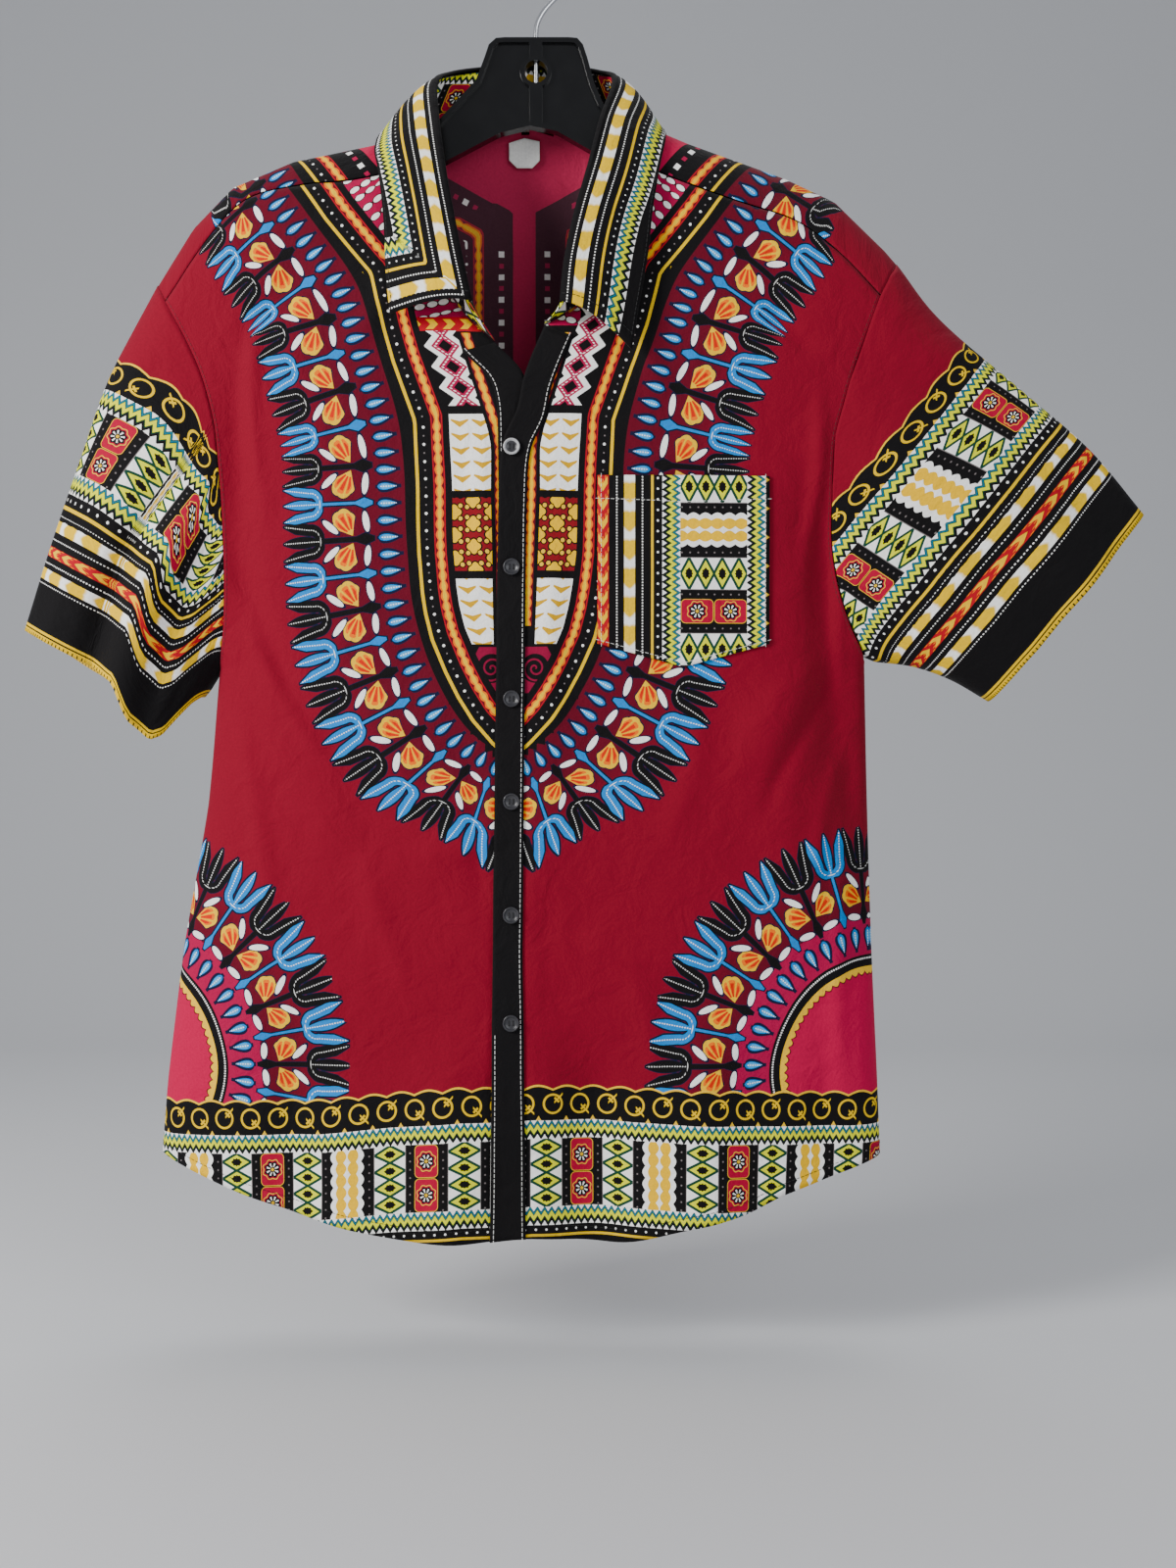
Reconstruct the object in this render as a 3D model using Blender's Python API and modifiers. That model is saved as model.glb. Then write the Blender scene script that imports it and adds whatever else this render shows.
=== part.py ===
"""African print shirt hanging on a moulded plastic hanger.

Metres, +Z up. The shirt's front faces -Y, and the origin is the inside top of
the hanger's hook, where a rail touches it. Left and right are the viewer's.
"""

import math

import bmesh
import bpy
import numpy as np
from mathutils import Matrix, Vector

MM = 0.001

# Cloth
CLOTH = 1.0 * MM
COLLAR_CLOTH = 1.5 * MM
SEAM = 0.3 * MM
SHOULDER_SEAM_GAP = 1.3 * MM
LAP = 3.2 * MM
LAP_MARGIN = 2 * MM
LAP_RUN = 30 * MM
LAP_TOP = -270 * MM
PLACKET_WIDTH = 26 * MM
MERGE = 0.01 * MM

# Fineness of the panels
FRONT_COLUMNS = 13
FRONT_ROWS = 30
BACK_COLUMNS = 24
BACK_LOWER_ROWS = 23
BACK_UPPER_ROWS = 9
SLEEVE_ALONG = 11
SIDE_ROWS = 17
EDGE_ROWS = 24
BACK_SIDE_ROWS = 13
SHOULDER_ROW = 28
COLLAR_COLUMNS = 38
LABEL_COLUMNS = 4
LABEL_ROWS = 3
# How much narrower the columns get towards a panel's side, 0 for all alike
FRONT_SPREAD = 0.7
BACK_SPREAD = 0.6


def table(columns, rows):
    """Rows given in millimetres, as one array in metres for each named column."""
    names = columns.split()
    return {name: np.array([row[i] for row in rows], float) * MM for i, name in enumerate(names)}


# The line where the cloth turns over the hanger, from the left sleeve head to the right
SHOULDER = table(
    "x z",
    [
        (-300, -298),
        (-267, -241),
        (-239, -196),
        (-212, -168),
        (-170, -150),
        (-112, -138),
        (-84, -128),
        (-9, -104),
        (66, -120),
        (106, -137),
        (175, -162),
        (209, -178),
        (244, -212),
        (256, -226),
        (300, -278),
    ],
)
SHOULDER_ROLL = 60 * MM

# The body's outline and its depth forward and back of the hanger, from the hem up.
# Above the underarm, at -0.505, the sides run on inside the sleeves.
BODY = table(
    "z left right front back",
    [
        (-905, -263, 243, 44, 40),
        (-842, -261, 241, 43, 38),
        (-790, -257, 239, 42, 37),
        (-700, -246, 235, 41, 36),
        (-600, -229, 232, 38, 35),
        (-505, -221, 230, 34, 33),
        (-430, -245, 252, 34, 34),
        (-340, -280, 285, 34, 36),
        (-250, -310, 310, 32, 34),
        (-120, -330, 330, 26, 30),
    ],
)
SIDE_POWER = 2.6

# The largest folds, each a soft ridge (up) or trough (down) along a line on the cloth
FRONT_FOLDS = table(
    "x0 z0 x1 z1 width height",
    [
        (190, -345, 224, -670, 16, -12),
        (158, -470, 186, -720, 24, 5),
        (-207, -270, -204, -520, 14, -8),
        (-205, -505, -115, -650, 20, 4),
        (46, -980, 40, -740, 22, -10),
        (-62, -980, -56, -750, 25, 7),
        (122, -980, 114, -730, 25, 8),
        (-172, -960, -160, -730, 24, -7),
        (205, -950, 200, -740, 17, -6),
        (216, -470, 120, -600, 18, 4),
    ],
)
BACK_FOLDS = table(
    "x0 z0 x1 z1 width height",
    [
        (-6, -230, 8, -980, 45, 6),
        (-118, -300, -108, -980, 34, -7),
        (132, -320, 124, -980, 36, -7),
        (-62, -980, -58, -690, 24, 5),
        (66, -980, 60, -700, 24, -6),
        (184, -980, 176, -600, 22, 6),
        (-190, -980, -176, -640, 22, 6),
    ],
)
FOLD_FADE = 3.0

# Seam lines and edges, as the panels' corners follow them
HEM = table(
    "x z",
    [
        (-261, -842),
        (-227, -856),
        (-183, -873),
        (-122, -890),
        (-59, -897),
        (-5, -893),
        (23, -895),
        (60, -898),
        (104, -888),
        (143, -879),
        (171, -867),
        (199, -858),
        (226, -849),
        (241, -844),
    ],
)
BACK_HEM_RISE = 5 * MM
SIDE_LEFT = table("x z", [(-261, -842), (-257, -790), (-246, -700), (-229, -600), (-221, -505)])
SIDE_RIGHT = table("x z", [(241, -844), (239, -790), (235, -700), (232, -600), (230, -500)])
ARMHOLE_LEFT = table(
    "x z",
    [
        (-221, -505),
        (-217, -480),
        (-216, -440),
        (-217, -400),
        (-219, -366),
        (-222, -335),
        (-230, -304),
        (-241, -279),
        (-256, -252),
    ],
)
ARMHOLE_RIGHT = table(
    "x z",
    [
        (230, -500),
        (214, -464),
        (206, -425),
        (205, -385),
        (206, -350),
        (213, -322),
        (220, -298),
        (228, -276),
        (238, -249),
    ],
)
ARMHOLE_BACK_LEFT = table(
    "x z",
    [(-221, -505), (-213, -470), (-210, -430), (-211, -390), (-215, -350), (-224, -315), (-246, -267)],
)
ARMHOLE_BACK_RIGHT = table(
    "x z",
    [(230, -500), (211, -458), (203, -420), (202, -385), (205, -350), (213, -318), (237, -265)],
)
# The armhole's way over the shoulder: turn is 1 at the back, 0 on the shoulder line
SHOULDER_TOP = {
    "turn": np.array([-0.85, -0.65, -0.35, 0, 0.35, 0.65, 1]),
    "left": np.array([-252, -256, -262, -265, -262, -256, -246]) * MM,
    "right": np.array([237, 243, 250, 253, 250, 245, 237]) * MM,
}
# The shoulder seam lies forward of the shoulder line
SEAM_LEFT = table("x z", [(-256, -252), (-204, -184), (-160, -172), (-130, -170), (-73, -160)])
SEAM_RIGHT = table("x z", [(54, -152), (103, -172), (137, -184), (180, -198), (210, -220), (238, -249)])
NECK_LEFT = table("x z", [(-27, -284), (-48, -264), (-66, -236), (-76, -198), (-73, -160)])
NECK_RIGHT = table("x z", [(7, -272), (34, -256), (52, -230), (60, -190), (54, -152)])
EDGE_LEFT = table("x z", [(-4, -894), (-3, -600), (-3, -350), (-7, -307), (-27, -284)])
EDGE_RIGHT = table(
    "x z",
    [(-30, -896), (-28, -700), (-26, -500), (-24, -377), (-21, -350), (-12, -330), (-7, -307), (7, -272)],
)
# The hole for the neck, seen from above
NECK_CENTRE = Vector((-9.5, -10, 0)) * MM
NECK_ACROSS = 80 * MM
NECK_DEEP = 31 * MM
NECK_CUT_LOW = -200 * MM
NECK_FIRST_ANGLE = math.radians(217.4)
NECK_SWEEP = math.radians(254.8)

# Sleeves: the top and bottom edges of each rib from the armhole out, and half its depth
RIBS_RIGHT = table(
    "top_x top_z low_x low_z depth",
    [
        (253, -222, 230, -499, 27),
        (285, -262, 247, -500, 30),
        (340, -310, 268, -503, 31),
        (388, -352, 293, -512, 30),
        (426, -397, 319, -527, 27),
    ],
)
RIBS_LEFT = table(
    "top_x top_z low_x low_z depth",
    [
        (-265, -236, -222, -503, 25),
        (-298, -298, -225, -509, 27),
        (-319, -358, -227, -514, 28),
        (-340, -419, -230, -519, 27),
        (-358, -476, -234, -524, 25),
    ],
)
RIB_ROUND = 0.8
ARMHOLE_BLEND = 0.6
SLEEVE_START_LEFT = 1.6 * MM
SLEEVE_START_RIGHT = 0.9 * MM
UNDERARM_START = 2.6 * MM
# How far the left front cuff hangs below the rib's straight line, by the share across it
CUFF_DROP = {
    "share": np.array([0, 0.05, 0.2, 0.26, 0.37, 0.44, 0.6, 1]),
    "drop": np.array([0, 8, 38, 44, 36, 14, 9, 2]) * MM,
}
BACK_CUFF_DROP = 16 * MM
LEFT_FOLD = {"share": 0.45, "ridge": 13 * MM, "trough": 8 * MM, "ridge_width": 0.1, "trough_width": 0.07}
RIGHT_FOLD = {"share": 0.72, "ridge": 5 * MM, "trough": 5 * MM, "ridge_width": 0.12, "trough_width": 0.1}
FAR_CUFF = 4 * MM

# Collar, from the left point round the back to the right point. Stations are in
# thousandths: up to 1000 is the left front neck, up to 2000 the hole over the shoulders
# and up to 3000 the right front neck.
COLLAR = table(
    "station roll_x roll_y roll_z edge_x edge_y edge_z",
    [
        (0, -44, -57, -261, -97, -44, -267),
        (220, -51, -56, -230, -101, -41, -228),
        (450, -57, -51, -201, -103, -39, -195),
        (700, -63, -43, -170, -107, -34, -166),
        (950, -69, -28, -131, -110, -20, -145),
        (1120, -72, -6, -96, -107, 2, -130),
        (1270, -62, 13, -82, -88, 21, -136),
        (1400, -36, 22, -75, -48, 30, -131),
        (1500, -8, 25, -73, -8, 32, -128),
        (1600, 22, 23, -74, 34, 30, -128),
        (1730, 46, 13, -81, 70, 22, -131),
        (1880, 57, -4, -93, 87, 0, -127),
        (2050, 48, -27, -128, 89, -19, -142),
        (2300, 40, -42, -163, 83, -36, -178),
        (2550, 30, -51, -200, 79, -39, -206),
        (2800, 23, -55, -233, 74, -42, -242),
        (3000, 20, -57, -262, 66, -45, -291),
    ],
)
LEAF_ROWS = 5
LEAF_BULGE = 5 * MM
STAND_ROWS = 3
STAND_IN = 2.4 * MM
NECK_MIDDLE_Z = -160 * MM
STAND_NECK_IN = 2.3 * MM

# Pocket
POCKET = {"left": 43, "right": 161, "top": -375, "side": -490, "point": -506}
POCKET_OUT = 0.9 * MM
POCKET_CELLS = 8

# Buttons
BUTTON_X = -15.5 * MM
BUTTON_HEIGHTS = [-356, -438, -528, -598, -675, -748]
BUTTON_RADIUS = 5.75 * MM
BUTTON_THICK = 2.4 * MM
BUTTON_DISH = 0.9 * MM
BUTTON_RIM = 1.4 * MM
BUTTON_OUT = 2 * CLOTH + 3 * SEAM

# Neck label
LABEL = {"left": -20, "right": 2, "drop": 21, "chamfer": 5}
LABEL_THICK = 1.0 * MM
LABEL_CLEAR = 1.6 * MM
LABEL_BELOW = 3 * MM

# Hanger
HANGER_THICK = 9 * MM
HANGER_BELOW = 2.0 * MM
HANGER_TIP_DROP = 4 * MM
HANGER_RECESS = 2.8 * MM
HANGER_RIM = 3.5 * MM
RIB_WIDTH = 9 * MM
WINDOW_Z = -86 * MM
WINDOW_RADIUS = 8 * MM
WINDOW_RING = 3 * MM
PLATE = table(
    "x z",
    [(-80, -131), (-69, -121), (-58, -109), (-42, -92), (-36, -76), (-33, -67), (-28, -62.5), (-22, -62)],
)
PLATE_RIGHT = table(
    "x z",
    [(23, -62), (29, -62.5), (33, -67), (36, -76), (41, -94), (47, -108), (55, -118), (63, -125)],
)
ARM_TIP_LEFT = table("x z", [(-213, -176), (-216, -185), (-212, -194)])
ARM_TIP_RIGHT = table("x z", [(206, -203), (211, -196), (209, -186)])
ARM_LOW = table(
    "x z",
    [
        (-200, -196),
        (-160, -181),
        (-115, -169),
        (-69, -152),
        (-45, -139),
        (-25, -129),
        (-4, -124),
        (15, -128),
        (32, -138),
        (50, -148),
        (80, -162),
        (120, -174),
        (165, -189),
    ],
)

# Hook
WIRE_RADIUS = 1.8 * MM
HOOK_INSIDE = 20 * MM
HOOK_FOOT = -96.5 * MM
HOOK_STEM = table("x z", [(0, -96.5), (0, -76), (0, -57), (1.2, -50), (5.5, -42), (12, -34.5), (18.3, -28)])
HOOK_ARC = (math.radians(-6), math.radians(205))
HOOK_ARC_STEPS = 20
BORE_RADIUS = 2.1 * MM


def smooth(share):
    """0 to 1 with a soft start and end."""
    share = min(max(share, 0.0), 1.0)
    return share * share * (3 - 2 * share)


def along(points, share):
    """The point at a share of a line's length, on a soft curve through its corners."""
    points = np.column_stack([points["x"], points["z"]])
    steps = np.linalg.norm(np.diff(points, axis=0), axis=1)
    distance = np.concatenate([[0], np.cumsum(steps)])
    wanted = min(max(share, 0.0), 1.0) * distance[-1]
    i = int(min(np.searchsorted(distance, wanted, side="right") - 1, len(steps) - 1))
    return soft_between(distance, points, i, wanted)


def soft_between(knots, points, i, wanted):
    """A cubic through points[i] and points[i + 1], with slopes read from their neighbours."""
    span = knots[i + 1] - knots[i]
    t = (wanted - knots[i]) / span

    def slope(j):
        low, high = max(j - 1, 0), min(j + 1, len(points) - 1)
        return (points[high] - points[low]) / (knots[high] - knots[low]) * span

    start, end = points[i], points[i + 1]
    return (
        (2 * t**3 - 3 * t**2 + 1) * start
        + (t**3 - 2 * t**2 + t) * slope(i)
        + (3 * t**2 - 2 * t**3) * end
        + (t**3 - t**2) * slope(i + 1)
    )


def edge(low, high, split):
    """Two lines end to end, the first up to the split of the whole, as a function of the share."""

    def place(share):
        if share <= split:
            return along(low, share / split)
        return along(high, (share - split) / (1 - split))

    return place


def line(points):
    return lambda share: along(points, share)


def softened(points, count=40):
    """The soft curve through a line's corners, as a line with more points."""
    soft = np.array([along(points, share) for share in np.linspace(0, 1, count)])
    return {"x": soft[:, 0], "z": soft[:, 1]}


def part_of(line, low, high):
    """The stretch of a line between two x values."""
    xs = [x for x in line["x"] if low < x < high]
    xs = [low] + xs + [high]
    return {"x": np.array(xs), "z": np.interp(xs, line["x"], line["z"])}


# The body's surface
def shoulder_z(x):
    return float(np.interp(x, SHOULDER["x"], SHOULDER["z"]))


def body(column, z):
    return float(np.interp(z, BODY["z"], BODY[column]))


def fold_height(folds, x, z):
    """How far the folds push the cloth out at this point."""
    height = 0.0
    for x0, z0, x1, z1, width, rise in zip(*[folds[name] for name in folds]):
        run = np.array([x1 - x0, z1 - z0])
        length = float(np.linalg.norm(run))
        run = run / length
        offset = np.array([x - x0, z - z0])
        down = float(offset @ run) / length
        aside = float(offset[0] * run[1] - offset[1] * run[0])
        end = smooth(min(down, 1 - down) * FOLD_FADE)
        height += rise * end * math.exp(-((aside / width) ** 2))
    return height


def body_y(x, z, side):
    """The cloth's inner face: side is -1 on the front and 1 on the back."""
    left, right = body("left", z), body("right", z)
    across = min(abs(2 * x - left - right) / (right - left), 1.0)
    round_side = (1 - across**SIDE_POWER) ** (1 / SIDE_POWER)
    below = max(0.0, shoulder_z(x) - z)
    round_top = math.sqrt(1 - (1 - min(below / SHOULDER_ROLL, 1)) ** 2)
    folds = fold_height(FRONT_FOLDS if side < 0 else BACK_FOLDS, x, z)
    depth = body("front" if side < 0 else "back", z) + folds
    return side * (depth * round_side * round_top + SEAM / 2)


def turn_to_drop(turn):
    return SHOULDER_ROLL * (1 - math.cos(math.pi * turn / 2))


def drop_to_turn(drop):
    return -2 / math.pi * math.acos(1 - min(max(drop / SHOULDER_ROLL, 0), 1))


def over_shoulder(x, turn):
    """A point of the cloth over the shoulder: turn 1 is down the back, -1 down the front."""
    z = shoulder_z(x) - turn_to_drop(turn)
    side = 1 if turn >= 0 else -1
    y = body_y(x, z, side)
    if abs(turn) < 0.02:
        y = 0.0
    return Vector((x, y, z))


def top_z(x, y):
    """The height of the cloth over the shoulder at this place, seen from above."""
    low, high = -1.0, 1.0
    for _ in range(40):
        middle = (low + high) / 2
        if over_shoulder(x, middle).y < y:
            low = middle
        else:
            high = middle
    return over_shoulder(x, low).z


def coons(bottom, top, left, right, u, v):
    """A point in the panel between four edge lines, each read from its start to its end."""
    corners = (bottom(0), bottom(1), top(0), top(1))
    edges = (1 - v) * bottom(u) + v * top(u) + (1 - u) * left(v) + u * right(v)
    flat = (
        (1 - u) * (1 - v) * corners[0]
        + u * (1 - v) * corners[1]
        + (1 - u) * v * corners[2]
        + u * v * corners[3]
    )
    return edges - flat


# Making the solids
def clear_scene():
    for thing in list(bpy.data.objects):
        bpy.data.objects.remove(thing, do_unlink=True)


def collection(name):
    made = bpy.data.collections.new(name)
    bpy.context.scene.collection.children.link(made)
    return made


def material(name, colour, roughness, metallic=0.0):
    made = bpy.data.materials.new(name)
    made.use_nodes = True
    surface = made.node_tree.nodes["Principled BSDF"]
    surface.inputs["Base Color"].default_value = (*colour, 1)
    surface.inputs["Roughness"].default_value = roughness
    surface.inputs["Metallic"].default_value = metallic
    return made


def add_object(name, data, finish, group):
    thing = bpy.data.objects.new(name, data)
    group.objects.link(thing)
    if finish:
        data.materials.append(finish)
    return thing


def cloth(name, place, columns, rows, wall, finish, closed=False):
    """A sheet of cloth. place gives the inner face's points by column and row, from 0."""
    shape = bmesh.new()
    bmesh.ops.create_grid(shape, x_segments=columns, y_segments=rows, size=1)
    for corner in shape.verts:
        column = round((corner.co.x + 1) / 2 * columns)
        row = round((corner.co.y + 1) / 2 * rows)
        corner.co = place(column, row)
    if closed:
        bmesh.ops.remove_doubles(shape, verts=shape.verts, dist=MERGE)
    mesh = bpy.data.meshes.new(name)
    shape.to_mesh(mesh)
    shape.free()
    mesh.shade_smooth()
    thing = add_object(name, mesh, finish, PARTS)
    thickness = thing.modifiers.new("Wall", "SOLIDIFY")
    thickness.thickness = wall
    thickness.offset = 1
    thickness.use_even_offset = False
    return thing


def outward(place, column, row, columns, rows):
    """The direction out of the sheet at one of its points."""
    left = place(max(column - 1, 0), row)
    right = place(min(column + 1, columns), row)
    low = place(column, max(row - 1, 0))
    high = place(column, min(row + 1, rows))
    return (right - left).cross(high - low).normalized()


def moved_out(place, columns, rows, distance):
    """The same points, moved straight out of the sheet that they lie on."""

    def moved(column, row):
        return place(column, row) + outward(place, column, row, columns, rows) * distance

    return moved


# Fronts and plackets
def front_shares(length):
    """Shares across a front from its front edge: narrow at the placket and at the side."""
    first = [0, PLACKET_WIDTH / 2 / length, PLACKET_WIDTH / length]
    rest = FRONT_COLUMNS - 2
    start = first[-1]
    even = [i / rest for i in range(1, rest + 1)]
    spread = [
        FRONT_SPREAD * math.sin(math.pi / 2 * share) + (1 - FRONT_SPREAD) * share for share in even
    ]
    return first + [start + (1 - start) * share for share in spread]


def row_length(inner, outer, share):
    return float(np.linalg.norm(inner(share) - outer(share)))


def lap_rise(z):
    """The right front lies over the left from the first button down."""
    return LAP * smooth((LAP_TOP - z) / LAP_RUN)


def left_front(column, row):
    share = row / FRONT_ROWS
    across = front_shares(row_length(LEFT_INNER, LEFT_OUTER, share))[FRONT_COLUMNS - column]
    x, z = coons(LEFT_HEM, line(SEAM_LEFT), LEFT_OUTER, LEFT_INNER, 1 - across, share)
    y = -SEAM / 2 if column == 0 and row <= SIDE_ROWS else body_y(x, z, -1)
    return Vector((x, y, z))


def right_front(column, row):
    share = row / FRONT_ROWS
    length = row_length(RIGHT_INNER, RIGHT_OUTER, share)
    across = front_shares(length)[column]
    x, z = coons(RIGHT_HEM, line(SEAM_RIGHT), RIGHT_INNER, RIGHT_OUTER, across, share)
    inside = 1 - smooth((across * length - PLACKET_WIDTH - LAP_MARGIN) / LAP_RUN)
    if column == FRONT_COLUMNS and row <= SIDE_ROWS:
        return Vector((x, -SEAM / 2, z))
    return Vector((x, body_y(x, z, -1) - lap_rise(z) * inside, z))


LEFT_OUTER = edge(SIDE_LEFT, ARMHOLE_LEFT, SIDE_ROWS / FRONT_ROWS)
RIGHT_OUTER = edge(SIDE_RIGHT, ARMHOLE_RIGHT, SIDE_ROWS / FRONT_ROWS)
LEFT_INNER = edge(EDGE_LEFT, NECK_LEFT, EDGE_ROWS / FRONT_ROWS)
RIGHT_INNER = edge(EDGE_RIGHT, NECK_RIGHT, EDGE_ROWS / FRONT_ROWS)
LEFT_HEM = line(part_of(HEM, HEM["x"][0], EDGE_LEFT["x"][0]))
RIGHT_HEM = line(part_of(HEM, EDGE_RIGHT["x"][0], HEM["x"][-1]))


def make_fronts(print_cloth, black_cloth):
    cloth("front_left", left_front, FRONT_COLUMNS, FRONT_ROWS, CLOTH, print_cloth)
    cloth("front_right", right_front, FRONT_COLUMNS, FRONT_ROWS, CLOTH, print_cloth)
    over = moved_out(right_front, FRONT_COLUMNS, FRONT_ROWS, CLOTH + SEAM)
    cloth("placket", over, 2, EDGE_ROWS, CLOTH, black_cloth)
    under = moved_out(left_front, FRONT_COLUMNS, FRONT_ROWS, CLOTH + SEAM)
    first = FRONT_COLUMNS - 2
    cloth("under_placket", lambda column, row: under(column + first, row), 2, EDGE_ROWS, CLOTH, black_cloth)


# Back, with the shoulders in one
BACK_LEFT = edge(SIDE_LEFT, ARMHOLE_BACK_LEFT, BACK_SIDE_ROWS / BACK_LOWER_ROWS)
BACK_RIGHT = edge(SIDE_RIGHT, ARMHOLE_BACK_RIGHT, BACK_SIDE_ROWS / BACK_LOWER_ROWS)
LOWER_SHOULDER = {"x": SHOULDER["x"], "z": SHOULDER["z"] - SHOULDER_ROLL}
BACK_TOP = line(part_of(LOWER_SHOULDER, ARMHOLE_BACK_LEFT["x"][-1], ARMHOLE_BACK_RIGHT["x"][-1]))
BACK_RISE = BACK_HEM_RISE * np.sin(np.pi * np.linspace(0, 1, len(HEM["x"])))
BACK_HEM = line({"x": HEM["x"], "z": HEM["z"] + BACK_RISE})
ACROSS_NECK = table("x z", [(-50, -146), (30, -138)])
SOFT_SEAMS = [softened(SEAM_LEFT), ACROSS_NECK, softened(SEAM_RIGHT)]
SHOULDER_SEAM = {name: np.concatenate([seam[name] for seam in SOFT_SEAMS]) for name in ("x", "z")}


def seam_turn(x):
    """How far over the shoulder the back reaches at this x."""
    z = float(np.interp(x, SHOULDER_SEAM["x"], SHOULDER_SEAM["z"])) + SHOULDER_SEAM_GAP
    return drop_to_turn(shoulder_z(x) - z)


def back_place(column, row):
    across = 1 - column / BACK_COLUMNS
    across = (1 - BACK_SPREAD) * across + BACK_SPREAD * (1 - math.cos(math.pi * across)) / 2
    if row <= BACK_LOWER_ROWS:
        x, z = coons(BACK_HEM, BACK_TOP, BACK_LEFT, BACK_RIGHT, across, row / BACK_LOWER_ROWS)
        at_side = column in (0, BACK_COLUMNS) and row <= BACK_SIDE_ROWS
        return Vector((x, SEAM / 2 if at_side else body_y(x, z, 1), z))
    share = (row - BACK_LOWER_ROWS) / BACK_UPPER_ROWS
    left_turn = 1 + (seam_turn(SEAM_LEFT["x"][0]) - 1) * share
    right_turn = 1 + (seam_turn(SEAM_RIGHT["x"][-1]) - 1) * share
    left = float(np.interp(left_turn, SHOULDER_TOP["turn"], SHOULDER_TOP["left"]))
    right = float(np.interp(right_turn, SHOULDER_TOP["turn"], SHOULDER_TOP["right"]))
    at_seam = SEAM_LEFT["x"][0] + (SEAM_RIGHT["x"][-1] - SEAM_LEFT["x"][0]) * across
    turn = 1 + (seam_turn(at_seam) - 1) * share
    return over_shoulder(left + (right - left) * across, turn)


def make_back(print_cloth):
    rows = BACK_LOWER_ROWS + BACK_UPPER_ROWS
    back = cloth("back", back_place, BACK_COLUMNS, rows, CLOTH, print_cloth)
    hole = cylinder("neck_cutter", 1.0, -NECK_CUT_LOW, CUTTERS, sides=48)
    hole.data.transform(scaled(NECK_ACROSS, NECK_DEEP, 1))
    hole.location = NECK_CENTRE + Vector((0, 0, NECK_CUT_LOW / 2))
    cut(back, hole)


# Sleeves
def armhole_ring(front_column, back_column):
    """The armhole's points with their shares, from the underarm up the front and down the back."""
    panel = left_front if front_column == 0 else right_front
    front = [panel(front_column, row) for row in range(SIDE_ROWS, FRONT_ROWS + 1)]
    top_row = BACK_LOWER_ROWS + BACK_UPPER_ROWS
    over = [back_place(back_column, row) for row in range(top_row - 1, SHOULDER_ROW - 1, -1)]
    down = [back_place(back_column, row) for row in range(SHOULDER_ROW, BACK_SIDE_ROWS - 1, -1)]
    rising = front + over
    up = [(point, share, -1) for point, share in zip(rising, shares(rising))]
    back = [(point, 1 - share, 1) for point, share in zip(down, shares(down))]
    return up[:-1] + back[:-1]


def shares(points):
    """Each point's share of the way across, eased at both ends as on a round tube."""
    steps = [(after - before).length for before, after in zip(points, points[1:])]
    distance = np.concatenate([[0], np.cumsum(steps)]) / sum(steps)
    return [(1 - math.cos(math.pi * share)) / 2 for share in distance]


def rib(ribs, out, share, side):
    """A point on a sleeve's rib: share 0 at the underarm edge and 1 at the top edge."""
    knots = np.linspace(0, 1, len(ribs["depth"]))
    i = int(min(out * (len(knots) - 1), len(knots) - 2))
    top = soft_between(knots, np.column_stack([ribs["top_x"], ribs["top_z"]]), i, out)
    low = soft_between(knots, np.column_stack([ribs["low_x"], ribs["low_z"]]), i, out)
    depth = float(np.interp(out, knots, ribs["depth"]))
    x, z = low + (top - low) * share
    lift = math.sin(math.pi * math.acos(1 - 2 * share) / math.pi) ** RIB_ROUND
    return Vector((x, side * depth * lift, z))


def crease(fold, share, out):
    """The sleeve's long fold: a ridge below the fold line and a trough above it."""
    ridge = math.exp(-(((share - fold["share"] + fold["ridge_width"]) / fold["ridge_width"]) ** 2))
    trough = math.exp(-(((share - fold["share"] - fold["trough_width"]) / fold["trough_width"]) ** 2))
    return (fold["ridge"] * ridge - fold["trough"] * trough) * smooth(out * 2)


def sleeve_point(ribs, ring, fold, out, row, sag, apart):
    """A point on a sleeve: out runs from the armhole to the cuff, and row goes round the ring."""
    start, share, side = ring[row % len(ring)]
    point = rib(ribs, out, share, side)
    blend = 1 - smooth(out / ARMHOLE_BLEND)
    point = point + (start - rib(ribs, 0, share, side)) * blend
    if side < 0:
        point.y -= crease(fold, share, out)
    point.z -= sag(share, side) * out**1.5
    near = 1 - smooth(out * SLEEVE_ALONG / 2)
    point.x += apart * near
    point.z += (UNDERARM_START * (1 - smooth(share * 6)) + abs(apart)) * near
    return point


def left_sag(share, side):
    if side > 0:
        return BACK_CUFF_DROP * math.sin(math.pi * share)
    return float(np.interp(share, CUFF_DROP["share"], CUFF_DROP["drop"]))


def right_sag(share, side):
    return FAR_CUFF * math.sin(math.pi * share) if side > 0 else 0.0


def make_sleeves(print_cloth):
    left_ring = armhole_ring(0, BACK_COLUMNS)
    right_ring = armhole_ring(FRONT_COLUMNS, 0)

    def left(column, row):
        out = 1 - column / SLEEVE_ALONG
        return sleeve_point(RIBS_LEFT, left_ring, LEFT_FOLD, out, row, left_sag, -SLEEVE_START_LEFT)

    def right(column, row):
        out = column / SLEEVE_ALONG
        return sleeve_point(RIBS_RIGHT, right_ring, RIGHT_FOLD, out, row, right_sag, SLEEVE_START_RIGHT)

    cloth("sleeve_left", left, SLEEVE_ALONG, len(left_ring), CLOTH, print_cloth, closed=True)
    cloth("sleeve_right", right, SLEEVE_ALONG, len(right_ring), CLOTH, print_cloth, closed=True)


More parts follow.
